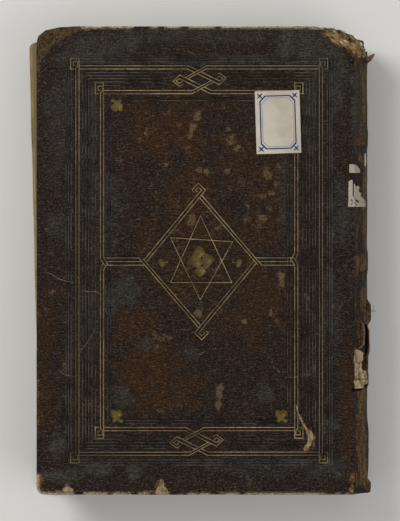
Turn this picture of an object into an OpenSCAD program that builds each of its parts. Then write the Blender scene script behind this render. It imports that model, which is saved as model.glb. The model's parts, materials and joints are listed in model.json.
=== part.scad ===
// An old leather-bound book: gilt front cover, plain back cover, text block
// and rounded spine. It lies shut on its back cover, spine to +X, head to +Y.
// Plan values are measured from the joint line (x = 0) and from mid height.

/* [Book] */
// Width of each cover, from the joint to the fore-edge
board_w = 191.2; // [150:0.1:240]
// Height of each cover, head to tail
board_h = 281.4; // [220:0.1:340]
// Thickness of the text block
block_t = 33; // [24:0.5:50]

/* [Covers] */
// Thickness of the pasteboard in each cover
board_t = 3; // [2:0.1:4]
// Thickness of the leather over the boards
leather_t = 0.8; // [0.6:0.05:1.2]
// Thickness of the pared leather turned in over the edges
turn_in_t = 0.5; // [0.3:0.05:0.8]
// Width of the turned-in leather inside each cover
turn_in_w = 13; // [8:0.5:20]
// Radius of the rubbed lower fore-edge corners
corner_r = 4.8; // [2:0.1:8]
// Step where the leather rounds over the edges
edge_step = 0.5; // [0.2:0.05:0.8]
// Depth of the hinge line below the outer face
hinge_depth = 0.6; // [0.5:0.05:0.7]
// Gap between a cover and the hinge line
joint_gap = 0.25; // [0.2:0.05:0.5]
// Clearance between a cover and the text block
cover_clear = 0.2; // [0.1:0.05:0.4]

/* [Text block] */
// How far the fore-edge stands past the covers at mid height
fore_out = 1.7; // [0:0.1:3]
// Mean distance from the covers' ends to the head and tail edges
square = 7.6; // [4:0.1:12]
// How far the block has slipped towards the head
block_lift = 2.8; // [0:0.1:4]
// Angle by which the block has turned in its covers
skew = 1.4; // [0:0.1:1.6]
// How much lower the head edge lies at the spine than at the fore-edge
head_fall = 6; // [0:0.1:7]
// Radius of the thumbed page corners
page_corner_r = 3.6; // [1:0.1:6]
// Depth of the hollow in the fore-edge
fore_hollow = 4; // [2:0.1:6]

/* [Spine] */
// How far the spine stands out past the joint
spine_crown = 8.4; // [5:0.1:10]
// Step from the covers' faces down to the spine leather
spine_drop = 1.6; // [1.4:0.1:2.5]
// Thickness of the spine leather
spine_leather_t = 1; // [0.7:0.05:1.4]
// Thickness of the linen lining on the spine
lining_t = 0.6; // [0.4:0.05:1]
// Thickness of the glue line between layers of the spine
glue_gap = 0.1; // [0.05:0.05:0.2]
// Radius of the endband cores
band_r = 1.5; // [1:0.1:2]
// Radius of a sewing cord
cord_r = 0.9; // [0.6:0.05:1.2]
// Clearance around a cord in its sawn groove
cord_clear = 0.1; // [0.05:0.05:0.2]

/* [Tooling] */
// Distance from the fore-edge to the outer gilt frame
margin_fore = 24.6; // [18:0.1:32]
// Distance from the joint to the outer gilt frame
margin_joint = 20.5; // [16:0.1:28]
// Distance from the head and tail to the outer gilt frame
margin_head = 24.8; // [18:0.1:32]
// Distance between the outer and inner gilt frames
frame_inset = 14.8; // [14:0.1:18]
// Distance between the two lines of a fillet
pair = 1.9; // [1.6:0.1:2.2]
// Width of a gilt line
line_w = 0.6; // [0.4:0.05:0.8]
// Width of a blind line
blind_w = 0.5; // [0.3:0.05:0.7]
// Depth to which the gilt lines are pressed
gilt_depth = 0.22; // [0.15:0.01:0.3]
// Thickness of the gold in its line
gold_t = 0.1; // [0.05:0.01:0.14]
// Depth to which the blind lines are pressed
blind_depth = 0.12; // [0.08:0.01:0.16]

/* [Labels] */
// Width of the shelf label
label_w = 26.8; // [20:0.1:32]
// Height of the shelf label
label_h = 37.6; // [28:0.1:44]
// Angle at which the shelf label was stuck on
label_turn = 1.8; // [0:0.1:4]
// Distance from the joint to the middle of the shelf label
label_in = 46.2; // [40:0.1:52]
// Distance from the head to the middle of the shelf label
label_down = 57.7; // [50:0.1:66]
// Thickness of label paper
paper_t = 0.15; // [0.1:0.01:0.25]
// Distance from the label's edge to its printed border
border_in = 2.6; // [1.5:0.1:4]
// Width of the printed border
border_w = 0.8; // [0.5:0.05:1.2]
// Thickness of the printed border
border_t = 0.06; // [0.04:0.01:0.1]

/* [Hidden] */
$fn = 96;
over = 1;                                         // overlap of every cut past its face
cord_count = 4;                                   // recessed sewing cords, one node each
leather_tint = [0.2, 0.13, 0.1];

// Heights
cover_t = leather_t + board_t + turn_in_t;
book_t = 2 * cover_t + 2 * cover_clear + block_t;
block_z = cover_t + cover_clear;
mid_z = book_t / 2;

// Rounded spine: one arc from joint to joint, and the layers inside it
spine_half = mid_z - spine_drop;
spine_r = (spine_half * spine_half + spine_crown * spine_crown) / (2 * spine_crown);
spine_x = spine_crown - spine_r;
lining_r = spine_r - spine_leather_t - glue_gap;
block_r = lining_r - lining_t - glue_gap;

// Text block, in its own turned frame with the joint line as x = 0
block_w = board_w + fore_out;
block_h = board_h - 2 * square;
block_top = block_h / 2 + block_lift;
block_foot = block_lift - block_h / 2;
spine_head = block_top - head_fall;
hollow_r = (block_t * block_t / 4 + fore_hollow * fore_hollow) / (2 * fore_hollow);

// Place of the joint line that centres the book on the origin
page_corner = [page_corner_r - block_w, block_top - page_corner_r];
reach_left = page_corner[0] * cos(skew) - page_corner[1] * sin(skew) - page_corner_r;
joint_x = -(reach_left + spine_crown) / 2;

// Worn corners of the covers, measured from the corner of the outline
worn_fore = [[0, -10.2], [1, -6], [5.4, -2.4], [14, -0.6], [24, 0]];
worn_joint = [[-24, 0], [-17.6, -1.2], [-11.6, -1.8], [-1.2, -6.6], [0, -7.6]];
back_joint = [[-14, 0], [-9, -0.8], [-4, -2.6], [0, -5.4]];
front_worn = [worn_fore, worn_joint];             // fore-edge corner, then joint corner
back_worn = [[], back_joint];
square_cut = [[], [[0, 0]]];
bare_joint = [[-19, 0], [-16.6, -6], [-14, -9.4], [-7.2, -12.2], [-2.6, -15.2], [0, -17.4]];
bare_foot = [[-4, 0], [-2.8, 5.4], [0, 8.2]];
layer_steps = [1.6, 3.4];                         // widths of the split pasteboard layers
layer_past = 9;                                   // reach of their cuts past the corner

// Gilt frames, about their common centre
frame_x = (margin_fore - board_w - margin_joint) / 2;
outer_x = (board_w - margin_fore - margin_joint) / 2;
outer_y = board_h / 2 - margin_head;
inner_x = outer_x - frame_inset;
inner_y = outer_y - frame_inset;
half_pair = pair / 2;
knot_y = outer_y - frame_inset / 2;
knot_level = frame_inset / 2;
top_knot_x = 0.2;
foot_knot_x = -1.5;
medallion = [0.6, -0.6];
blind_insets = [-6.8, -5.3, -3.8, 3.2, 5, 6.8, 8.7, 10.9, 18.2, 20];
back_insets = [-4, 0, 1.9, 12.8, 14.7];
knot_clear = 19;                                  // half width kept free of blind lines

// Curled ends of a frame's uprights, for the upper left corner
curl_out = [[half_pair, 5.5], [-4.1, 5.5], [-4.1, -1], [-1.9, -1]];
curl_in = [[-half_pair, -0.4], [0.2, 0.8], [0.2, 3.5], [-2.4, 3.5], [-2.4, 1.2], [-0.9, 1.2]];

// One half of an interlaced knot, about the knot's centre
knot_a_out = [[-6.7, 0], [12.1, -0.7], [14.2, 0.8], [12, 2.2], [10.3, 0.8]];
knot_a_in = [[-7.1, 0], [11.9, -2.9], [16, 1], [11.9, 4], [9.5, 2.6]];
knot_b_out = [[4.4, 0], [-8.4, 1.3]];
knot_b_in = [[4, 0], [-7.3, 0.4]];
knot_b_mid = [[5.6, 8], [-8.4, 0.5]];

// One half of the centre lozenge, about its centre
bar = 2.2;                                        // spacing of the three bars
side_out = [[-33.6, 1.1], [0.85, 42.9], [-1, 44.6], [-2.8, 42.9], [-1.8, 41.8]];
side_in = [[-32.3, -0.35], [3.3, 42.9], [-1, 47], [-4.9, 42.9], [-3.2, 41.1]];
flank_out = [[36.9, -bar], [0.8, 39.9]];
flank_in = [[34.6, -1.9], [-0.4, 38.4]];
// Middle and upper bar: where it starts, how far short of the frame it stops, its height
bar_runs = [[35, half_pair + 1.4, 0], [33.1, 1.5, bar]];
// Inner ends of the frame's uprights, outer and inner line, from the frame's middle line
foot_ends = [[[-half_pair, -bar], [-3.7, bar]], [[half_pair, -1.6], [-1.5, bar]]];
top_ends = [[[-half_pair, 5.2], [-2.4, bar]], [[half_pair, 4.5], [-0.66, 0.9]]];
star_up = [[0.3, 27.5], [-17.8, -12.6], [19, -12.6]];
star_down = [[-17.8, 14.3], [19.6, 11.9], [0, -23]];

// Stamps, about their centres
rosette = [[-0.4, 10.1], [-2.8, 7.8], [-4.2, 5.4], [-5.1, 3.2], [-7.9, 0.3], [-6.5, -1.9],
           [-3.7, -3.2], [-1.6, -3.7], [-3.3, -5.4], [-2.8, -7.6], [-0.2, -9.4], [2.4, -7.9],
           [4, -5.7], [2.6, -4.7], [4.3, -4.5], [7.1, -1.2], [9, 1.3], [7.1, 3.6],
           [3.4, 5], [2.4, 7.6]];
rosette_eyes = [[1, 2.2], [1.2, -2.4]];
rosette_eye_r = 0.55;
leaf = [[-3.4, 3.6], [-3.8, 1.8], [-3.5, -0.2], [-2.2, -1], [-3.1, -2.6], [-2.4, -4], [-0.9, -3.6],
        [0, -2.2], [0.9, -3.2], [2.6, -4.2], [3.8, -3.2], [3.4, -1.8], [1.4, -1.2], [2, -0.6],
        [3.6, 0.2], [3.7, 2], [2.6, 3.6], [0.8, 4.1], [-0.6, 3.2], [-1.9, 4.2]];
leaf_in = [8.9, 7.7];                             // distance of the leaves from the inner frame
ace = [[-3.2, 0.3], [-2.6, 2.2], [-1.1, 2.7], [0, 1.6], [0.2, 0.4], [1.8, 0.5], [2.3, 1.4],
       [3.3, 1], [3, -0.2], [1.8, -0.2], [0.2, -0.4], [0.9, -1.7], [0, -2.9], [-1.8, -2.4]];
ace_x = 22.2;
ace_y = -0.7;

// Label border corner and scraps of old labels, on the joint line's plan
border_cut = 3.2;                                 // bevel of the border's corners
scrap_top = [[-3.4, 52.6], [3, 52.6], [3, 57], [-0.6, 57.6], [-3.4, 56.4]];
scrap_mid = [[-4, 32.2], [6.6, 32.2], [6.4, 36.6], [2.6, 40.2], [-0.6, 46.6], [-3.9, 48.4]];
scrap_edge = [[7.2, 56.8], [8.2, 56.8], [8.2, 64.4], [7.4, 64.4]];

// Tear in the spine leather, on the joint line's plan, and how far round it goes
tear = [[4.2, -37.4], [5.8, -40.6], [5.2, -50.2], [1.6, -52.8], [-1, -53], [-1, -77],
        [5.6, -77], [10, -74.8], [10, -37.4]];
tear_drop = 19;
lining_piece = [[0.2, -53.6], [3.8, -54.4], [5.4, -60], [5.6, -76.4], [0.2, -76.4]];
groove_angle = 60;                                // half the turn of a sawn groove round the spine
cord_angle = 33;                                  // half the turn of a cord or an endband
scrap_rise = 0.35;                                // thickness of the loose piece of lining
head_worn = [[-1, -7.2], [1.2, -8.4], [7, -13.8], [10, -17], [10, 2], [-1, 2]];

function turned(v) = [-v[1], v[0]];
function unit(v) = v / norm(v);
function reversed(list) = [for (i = [len(list) - 1 : -1 : 0]) list[i]];
function shifted(list, by) = [for (p = list) p + by];
function flipped(list, sx, sy) = [for (p = list) [p[0] * sx, p[1] * sy]];

// Sideways step at a corner between the directions a and b, mitred
function mitre(a, b, d) =
    let (n = unit(turned(a) + turned(b))) n * d / (n * turned(a));
function open_side(path, d) =
    let (last = len(path) - 1)
    [for (i = [0 : last])
        let (a = unit(path[max(i, 1)] - path[max(i, 1) - 1]),
             b = unit(path[min(i, last - 1) + 1] - path[min(i, last - 1)]))
        path[i] + mitre(a, b, d)];
function closed_side(path, d) =
    let (n = len(path))
    [for (i = [0 : n - 1])
        path[i] + mitre(unit(path[i] - path[(i + n - 1) % n]),
                        unit(path[(i + 1) % n] - path[i]), d)];

// Swaps the first height of a knot's line for the level of its frame
function on_level(path, level, reach) =
    concat([[reach, level], [path[0][0], level]], [for (i = [1 : len(path) - 1]) path[i]]);

// Outline of a cover, drawn in by d, with its head corners; the joint side is not drawn in
function cover_points(d, worn) =
    let (left = d - board_w, top = board_h / 2 - d, right = -joint_gap,
         round_foot = [for (a = [270 : -15 : 180])
                       [left + corner_r, corner_r - top] + corner_r * [cos(a), sin(a)]],
         round_top = [for (a = [180 : -15 : 90])
                      [left + corner_r, top - corner_r] + corner_r * [cos(a), sin(a)]])
    concat(len(worn[0]) > 0 ? shifted(worn[0], [left, top]) : round_top,
           shifted(worn[1], [right, top]), [[right, -top]], round_foot);

// A bare corner's edge, closed past the corner of the cover
function closed_corner(run, past) =
    let (last = run[len(run) - 1], y = -sign(last[1]) * past)
    concat(run, [[past, last[1]], [past, y], [run[0][0], y]]);

module place() { translate([joint_x, 0, 0]) children(); }
module front() { place() translate([0, 0, book_t - cover_t]) children(); }
module back() { place() translate([0, 0, cover_t]) mirror([0, 0, 1]) children(); }
module slab(z, h) { translate([0, 0, z]) linear_extrude(h) children(); }

// One tooled line along an open path, and one around a closed path
module stroke(path, w = line_w) {
    polygon(concat(open_side(path, w / 2), reversed(open_side(path, -w / 2))));
}
module loop(path, w = line_w) {
    difference() {
        polygon(closed_side(path, -w / 2));
        polygon(closed_side(path, w / 2));
    }
}
module frame_line(inset, w) {
    difference() {
        square([2 * (outer_x - inset) + w, 2 * (outer_y - inset) + w], center = true);
        square([2 * (outer_x - inset) - w, 2 * (outer_y - inset) - w], center = true);
    }
}

// Band A runs from the left under band B to its own curl; B ends on the far band
module half_knot(left, right) {
    difference() {
        union() {
            stroke(on_level(knot_a_out, knot_level + half_pair, -left));
            stroke(on_level(knot_a_in, knot_level - half_pair, -left));
        }
        stroke(knot_b_mid, pair);
    }
    stroke(on_level(knot_b_out, knot_level + half_pair, right));
    stroke(on_level(knot_b_in, knot_level - half_pair, right));
}
module knot(shift, upper, lower) {
    half_knot(upper + shift, upper - shift);
    rotate(180) half_knot(lower - shift, lower + shift);
}

// An upright of the outer frame, with a curl at each end
module upright(side) {
    for (curl = [curl_out, curl_in])
        stroke(concat(reversed(shifted(flipped(curl, side, -1), [-side * outer_x, -outer_y])),
                      shifted(flipped(curl, side, 1), [-side * outer_x, outer_y])));
}

// Right half of the lozenge, its bars and the uprights of the inner frame
module half_lozenge(reach, up, down) {
    stroke(side_out);
    stroke(side_in);
    stroke(concat([[reach - half_pair, -bar]], flank_out));
    stroke(flank_in);
    for (run = bar_runs) stroke([[run[0], run[2]], [reach - run[1], run[2]]]);
    for (k = [0, 1]) {
        curl = k == 0 ? curl_out : curl_in;
        stroke(concat(reversed(shifted(flipped(curl, -1, -1), [reach, -down])),
                      shifted(foot_ends[k], [reach, 0])));
        stroke(concat(reversed(shifted(flipped(curl, -1, 1), [reach, up])),
                      shifted(top_ends[k], [reach, 0])));
    }
}
module medallion_tooling() {
    half_lozenge(inner_x - medallion[0], inner_y - medallion[1], inner_y + medallion[1]);
    rotate(180)
        half_lozenge(inner_x + medallion[0], inner_y + medallion[1], inner_y - medallion[1]);
    loop(star_up);
    loop(reversed(star_down));
    difference() {
        polygon(rosette);
        for (eye = rosette_eyes) translate(eye) circle(rosette_eye_r, $fn = 12);
    }
    for (side = [1, -1])
        translate([-side * ace_x, ace_y]) scale([side, 1]) polygon(ace);
}
module gilt_plan() {
    translate([frame_x, 0]) {
        upright(1);
        upright(-1);
        translate([top_knot_x, knot_y])
            knot(top_knot_x, outer_x - half_pair, inner_x - half_pair);
        translate([foot_knot_x, -knot_y])
            knot(foot_knot_x, inner_x - half_pair, outer_x - half_pair);
        translate(medallion) medallion_tooling();
        for (sx = [1, -1], sy = [1, -1])
            translate([sx * (inner_x - leaf_in[0]), sy * (inner_y - leaf_in[1])])
                rotate(sy > 0 ? 180 : 0) polygon(leaf);
    }
}
module blind_plan(insets) {
    translate([frame_x, 0]) difference() {
        for (inset = insets) frame_line(inset, blind_w);
        for (side = [1, -1])
            translate([0, side * knot_y])
                square([2 * knot_clear, frame_inset + 2 * over], center = true);
    }
}
module bare_corners() {
    translate([-joint_gap, board_h / 2]) polygon(closed_corner(bare_joint, over));
    translate([-joint_gap, -board_h / 2]) polygon(closed_corner(bare_foot, over));
}

// The leather case of one cover: outer skin, edges and turn-ins around the board
module cover_leather(worn) {
    difference() {
        union() {
            slab(0, cover_t - edge_step) polygon(cover_points(0, worn));
            slab(cover_t - edge_step - over, edge_step + over)
                polygon(cover_points(edge_step, worn));
        }
        slab(turn_in_t, board_t) board_outline(worn, over);
        slab(-over, turn_in_t + 2 * over) {
            polygon(cover_points(turn_in_w, square_cut));
            translate([-turn_in_w, turn_in_w - board_h / 2])
                square([turn_in_w + over, board_h - 2 * turn_in_w]);
        }
        children();
    }
}
module board_outline(worn, past = 0) {
    polygon(cover_points(leather_t, worn));
    if (past > 0)
        translate([-2 * joint_gap, -board_h / 2 + leather_t])
            square([past + joint_gap, board_h - 2 * leather_t + worn[1][len(worn[1]) - 2][1]]);
}

// A ring about the spine's axis, round section r at radius at, between angles
module spine_ring(at, r, half_angle) {
    translate([spine_x, 0, mid_z]) rotate([90, 0, 0]) rotate([0, 0, -half_angle])
        rotate_extrude(angle = 2 * half_angle) translate([at, 0]) circle(r);
}
// A layer of the spine between two radii, past the joint line
module spine_layer(r_out, r_in, from_x, length) {
    translate([0, length / 2, 0]) rotate([90, 0, 0]) linear_extrude(length) intersection() {
        translate([spine_x, mid_z]) difference() {
            circle(r_out);
            circle(r_in);
        }
        translate([from_x, 0]) square([spine_crown * 2, book_t]);
    }
}
module spine_plan_cut(points, z = mid_z) { slab(z, book_t) polygon(points); }

module block_turn() { rotate(skew) children(); }
function cord_y(i) = block_lift + block_h * ((i - 0.5) / cord_count - 0.5);

module text_block() {
    color("wheat") place() difference() {
        intersection() {
            slab(block_z, block_t) block_turn() page_plan();
            translate([0, board_h / 2, 0]) rotate([90, 0, 0]) linear_extrude(board_h) union() {
                translate([spine_x, mid_z]) circle(block_r);
                translate([-2 * board_w, 0]) square([2 * board_w + spine_x, book_t]);
            }
        }
        block_turn() translate([-block_w - hollow_r + fore_hollow, board_h, mid_z])
            rotate([90, 0, 0]) cylinder(h = 2 * board_h, r = hollow_r);
        for (i = [1 : cord_count])
            translate([0, cord_y(i), 0]) spine_ring(block_r - cord_r, cord_r + cord_clear, groove_angle);
    }
}
// Plan of the pages: square at the spine, thumbed corners at the fore-edge
module page_plan() {
    polygon(concat([[2 * spine_crown, block_foot], [2 * spine_crown, spine_head], [0, spine_head]],
        [for (a = [90 : 15 : 180])
            page_corner + page_corner_r * [cos(a), sin(a)]],
        [for (a = [180 : 15 : 270])
            [page_corner[0], block_foot + page_corner_r] + page_corner_r * [cos(a), sin(a)]]));
}
module sewing_cord(i) {
    color("tan") place() translate([0, cord_y(i), 0])
        spine_ring(block_r - cord_r, cord_r - glue_gap, cord_angle);
}
module spine_lining() {
    color("ivory") place() translate([0, block_lift, 0])
        spine_layer(lining_r, lining_r - lining_t, glue_gap, block_h - 2 * square);
}
module spine_leather() {
    color(leather_tint) place() difference() {
        spine_layer(spine_r, spine_r - spine_leather_t, joint_gap, board_h - 2 * edge_step);
        spine_plan_cut(tear, book_t - tear_drop);
        translate([0, board_h / 2, 0]) spine_plan_cut(head_worn, book_t - tear_drop);
    }
}
module lining_scrap() {
    color("beige") place() intersection() {
        spine_layer(lining_r + glue_gap + scrap_rise, lining_r + glue_gap, glue_gap, board_h);
        spine_plan_cut(lining_piece, book_t - tear_drop);
    }
}
module spine_label_scraps() {
    color("gainsboro") place() for (scrap = [scrap_top, scrap_mid, scrap_edge])
        intersection() {
            spine_layer(spine_r + paper_t, spine_r, joint_gap, board_h);
            spine_plan_cut(scrap);
        }
}
module headband() {
    seat = spine_head + spine_crown * sin(skew);      // highest point of the turned head edge
    color("peru") place() translate([0, seat + band_r + glue_gap, 0])
        spine_ring(block_r - band_r - glue_gap, band_r, cord_angle);
}
module tailband() {
    color("peru") place() translate([0, block_foot - band_r - glue_gap, 0])
        spine_ring(block_r - band_r - glue_gap, band_r, cord_angle);
}

module front_board() {
    layers = len(layer_steps);
    color("burlywood") front() difference() {
        slab(turn_in_t, board_t) board_outline(front_worn);
        for (i = [0 : layers - 1])
            translate([layer_steps[i] - joint_gap, layer_steps[i] + board_h / 2,
                       turn_in_t + board_t * (layers - i) / (layers + 1)])
                linear_extrude(board_t) polygon(closed_corner(bare_joint, layer_past));
    }
}
module front_leather() {
    color(leather_tint) front() cover_leather(front_worn) {
        slab(cover_t - gilt_depth, over) gilt_plan();
        slab(cover_t - blind_depth, over) blind_plan(blind_insets);
        slab(-over, cover_t + 2 * over) bare_corners();
    }
}
module pastedown() {
    slab(0, turn_in_t) polygon(cover_points(turn_in_w + glue_gap, square_cut));
}
module front_pastedown() { color("antiquewhite") front() pastedown(); }
module front_gilding() {
    color("darkgoldenrod") front() difference() {
        slab(cover_t - gilt_depth, gold_t) gilt_plan();
        slab(0, cover_t) bare_corners();
    }
}
module on_label() {
    front() translate([-label_in, board_h / 2 - label_down, cover_t]) rotate(label_turn)
        children();
}
module shelf_label() {
    color("gainsboro") on_label()
        linear_extrude(paper_t) square([label_w, label_h], center = true);
}
module shelf_label_border() {
    x = label_w / 2 - border_in;
    y = label_h / 2 - border_in;
    c = border_cut;
    color("steelblue") on_label() translate([0, 0, paper_t]) linear_extrude(border_t)
        loop([[x, y - c], [x - c, y], [c - x, y], [-x, y - c],
              [-x, c - y], [c - x, -y], [x - c, -y], [x, c - y]], border_w);
}
module joint_label_scraps() {
    color("gainsboro") front() slab(cover_t, paper_t) intersection() {
        union() {
            polygon(scrap_top);
            polygon(scrap_mid);
        }
        translate([-board_w, -board_h / 2]) square([board_w - joint_gap, board_h]);
    }
}
module back_board() { color("burlywood") back() slab(turn_in_t, board_t) board_outline(back_worn); }
module back_leather() {
    color(leather_tint) back() cover_leather(back_worn)
        slab(cover_t - blind_depth, over)
            translate([frame_x, 0]) for (inset = back_insets) frame_line(inset, blind_w);
}
module back_pastedown() { color("antiquewhite") back() pastedown(); }

text_block();
spine_lining();
spine_leather();
lining_scrap();
spine_label_scraps();
headband();
tailband();
sewing_cord(1);  // sewing_cord_1
sewing_cord(2);  // sewing_cord_2
sewing_cord(3);  // sewing_cord_3
sewing_cord(4);  // sewing_cord_4
front_board();
front_leather();
front_pastedown();
front_gilding();
shelf_label();
shelf_label_border();
joint_label_scraps();
back_board();
back_leather();
back_pastedown();
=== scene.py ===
import bpy
import json
import math
import numpy as np
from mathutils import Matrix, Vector, noise


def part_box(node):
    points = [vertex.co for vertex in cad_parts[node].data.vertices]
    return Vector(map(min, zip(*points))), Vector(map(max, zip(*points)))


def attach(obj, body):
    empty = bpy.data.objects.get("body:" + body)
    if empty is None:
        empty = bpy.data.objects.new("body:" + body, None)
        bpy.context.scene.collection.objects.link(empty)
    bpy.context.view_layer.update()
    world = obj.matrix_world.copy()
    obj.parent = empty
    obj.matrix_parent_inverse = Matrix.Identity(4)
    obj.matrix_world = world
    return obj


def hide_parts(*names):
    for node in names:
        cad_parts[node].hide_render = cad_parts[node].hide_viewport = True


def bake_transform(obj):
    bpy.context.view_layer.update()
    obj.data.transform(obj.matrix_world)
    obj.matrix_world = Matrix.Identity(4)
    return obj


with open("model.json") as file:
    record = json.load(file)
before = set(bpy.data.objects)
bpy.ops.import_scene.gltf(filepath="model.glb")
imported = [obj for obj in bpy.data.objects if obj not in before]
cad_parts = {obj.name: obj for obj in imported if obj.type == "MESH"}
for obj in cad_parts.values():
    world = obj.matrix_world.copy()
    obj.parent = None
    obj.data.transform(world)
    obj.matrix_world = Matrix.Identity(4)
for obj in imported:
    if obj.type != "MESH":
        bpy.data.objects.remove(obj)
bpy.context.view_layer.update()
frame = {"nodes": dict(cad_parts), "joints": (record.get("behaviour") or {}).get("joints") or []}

# The book lies shut on its back cover: spine to +X, head to +Y, joint line at jointX
mm = 0.001
hinges = {j["name"]: Vector(j["pos_m"]) for j in frame["joints"]}
jointX = hinges["front_cover_hinge"].x
caseLow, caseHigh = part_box("front_leather")
blockLow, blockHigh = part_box("text_block")
spineLow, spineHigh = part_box("spine_leather")
topZ = caseHigh.z
coverT = caseHigh.z - caseLow.z
midZ = topZ / 2
headY = caseHigh.y
photo = {"pixel": 0.6 * mm, "jointColumn": 355, "middleRow": 260.5}
blockSkew = 1.4             # degrees that the pages lie turned in their case


def onPhoto(column, row):
    return (jointX + (column - photo["jointColumn"]) * photo["pixel"],
            (photo["middleRow"] - row) * photo["pixel"])


def photoRun(run):
    return [Vector(onPhoto(*spot)) for spot in run]


# Working with objects
def pick(*objects):
    bpy.ops.object.select_all(action="DESELECT")
    for obj in objects:
        obj.select_set(True)
    bpy.context.view_layer.objects.active = objects[0]


def openEdit(obj, kind="FACE", everything=False):
    pick(obj)
    bpy.ops.object.mode_set(mode="EDIT")
    bpy.ops.mesh.select_mode(type=kind)
    bpy.ops.mesh.select_all(action="SELECT" if everything else "DESELECT")


def selectAll():
    bpy.ops.mesh.select_all(action="SELECT")


def closeEdit():
    bpy.ops.object.mode_set(mode="OBJECT")


def closeOutward(weld=False):
    selectAll()
    if weld:
        bpy.ops.mesh.remove_doubles(threshold=0.001 * mm)
    bpy.ops.mesh.normals_make_consistent(inside=False)
    closeEdit()


def extrudeBy(x, y, z):
    bpy.ops.mesh.extrude_region_move(TRANSFORM_OT_translate={"value": (x, y, z)})


def deleteParts(obj, kind, wanted):
    openEdit(obj, kind)
    closeEdit()
    for part in obj.data.polygons if kind == "FACE" else obj.data.vertices:
        part.select = wanted(part)
    bpy.ops.object.mode_set(mode="EDIT")
    bpy.ops.mesh.delete(type=kind)


def flipNormals(obj):
    openEdit(obj, everything=True)
    bpy.ops.mesh.flip_normals()
    closeEdit()


def applyPlace(obj):
    pick(obj)
    bpy.ops.object.transform_apply(location=True, rotation=True, scale=True)


def applyModifiers(obj):
    pick(obj)
    for modifier in list(obj.modifiers):
        bpy.ops.object.modifier_apply(modifier=modifier.name)


def copyOf(source, name):
    obj = bpy.data.objects.new(name, source.data.copy())
    bpy.context.scene.collection.objects.link(obj)
    openEdit(obj, "VERT", everything=True)
    bpy.ops.mesh.remove_doubles(threshold=0.001 * mm)
    closeEdit()
    return obj


def joined(objects, name):
    pick(*objects)
    if len(objects) > 1:
        bpy.ops.object.join()
    objects[0].name = name
    return objects[0]


def carve(target, cutter, operation="DIFFERENCE", keepFinish=False):
    modifier = target.modifiers.new("carve", "BOOLEAN")
    modifier.object = cutter
    modifier.operation = operation
    modifier.solver = "EXACT"
    modifier.material_mode = "TRANSFER" if keepFinish else "INDEX"
    applyModifiers(target)
    bpy.data.objects.remove(cutter)


def points(obj):
    flat = np.empty(len(obj.data.vertices) * 3)
    obj.data.vertices.foreach_get("co", flat)
    return flat.reshape(-1, 3)


def setPoints(obj, places):
    obj.data.vertices.foreach_set("co", places.ravel())
    obj.data.update()


def paint(obj, name, values):
    attribute = obj.data.color_attributes.new(name, "FLOAT_COLOR", "POINT")
    attribute.data.foreach_set("color", values.ravel())


def seenAt(places):
    return ((places[:, 0] - jointX) / photo["pixel"] + photo["jointColumn"],
            photo["middleRow"] - places[:, 1] / photo["pixel"])


def turned(a, b, degrees):
    turn = math.radians(degrees)
    return a * math.cos(turn) - b * math.sin(turn), a * math.sin(turn) + b * math.cos(turn)


def dress(obj, *finishNames):
    obj.data.materials.clear()
    for name in finishNames:
        obj.data.materials.append(finishes[name])


def smooth(obj, angle=35):
    pick(obj)
    bpy.ops.object.shade_smooth_by_angle(angle=math.radians(angle))


def plate(name, outline, low, high):
    bpy.ops.mesh.primitive_circle_add(vertices=len(outline), radius=mm, fill_type="NGON")
    obj = bpy.context.object
    obj.name = name
    for vertex, place in zip(obj.data.vertices, outline):
        vertex.co = (place[0], place[1], low)
    openEdit(obj, everything=True)
    extrudeBy(0, 0, high - low)
    closeOutward()
    return obj


def ragged(outline, step, depth, seed):
    dense = []
    for i, start in enumerate(outline):
        a, b = Vector(start), Vector(outline[(i + 1) % len(outline)])
        count = max(1, round((b - a).length / step))
        across = Vector((a.y - b.y, b.x - a.x)).normalized()
        for k in range(count):
            place = a.lerp(b, k / count)
            push = noise.noise(Vector((place.x, place.y, seed * mm)) / (2.2 * step))
            dense.append(place + across * push * depth)
    return dense


def noiseField(places, size, seed=0):
    offset = Vector((seed * 3.7, seed * 1.3, seed * 2.1))
    return np.array([noise.noise(Vector(p) / size + offset) for p in places])


def easeField(value, low, high):
    t = np.clip((value - low) / (high - low), 0, 1)
    return t * t * (3 - 2 * t)


# Working with materials
def tone(red, green, blue):
    def linear(c):
        c /= 255
        return c / 12.92 if c <= 0.04045 else ((c + 0.055) / 1.055) ** 2.4
    return (linear(red), linear(green), linear(blue), 1)


def finish(name, roughness, specular=0.4, metallic=0.0):
    material = bpy.data.materials.new(name)
    material.use_nodes = True
    shader = material.node_tree.nodes["Principled BSDF"]
    shader.inputs["Roughness"].default_value = roughness
    shader.inputs["Specular IOR Level"].default_value = specular
    shader.inputs["Metallic"].default_value = metallic
    return material, material.node_tree, shader


def make(tree, kind, inputs=None, **settings):
    node = tree.nodes.new(kind)
    for key, value in settings.items():
        setattr(node, key, value)
    for key, value in (inputs or {}).items():
        if isinstance(value, bpy.types.NodeSocket):
            tree.links.new(value, node.inputs[key])
        else:
            node.inputs[key].default_value = value
    return node


def place(tree, stretch=(1, 1, 1), turn=0):
    spot = make(tree, "ShaderNodeTexCoord").outputs["Object"]
    if turn:
        spot = make(tree, "ShaderNodeVectorRotate", {"Vector": spot, "Angle": math.radians(turn)},
                    rotation_type="Z_AXIS").outputs[0]
    return make(tree, "ShaderNodeMapping", {"Vector": spot, "Scale": stretch}).outputs[0]


def speckle(tree, size, detail=3, stretch=(1, 1, 1), rough=0.55, turn=0):
    return make(tree, "ShaderNodeTexNoise",
                {"Vector": place(tree, stretch, turn), "Scale": 1 / size, "Detail": detail,
                 "Roughness": rough}).outputs["Fac"]


def cells(tree, size, stretch):
    return make(tree, "ShaderNodeTexVoronoi",
                {"Vector": place(tree, stretch), "Scale": 1 / size}).outputs["Distance"]


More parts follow.
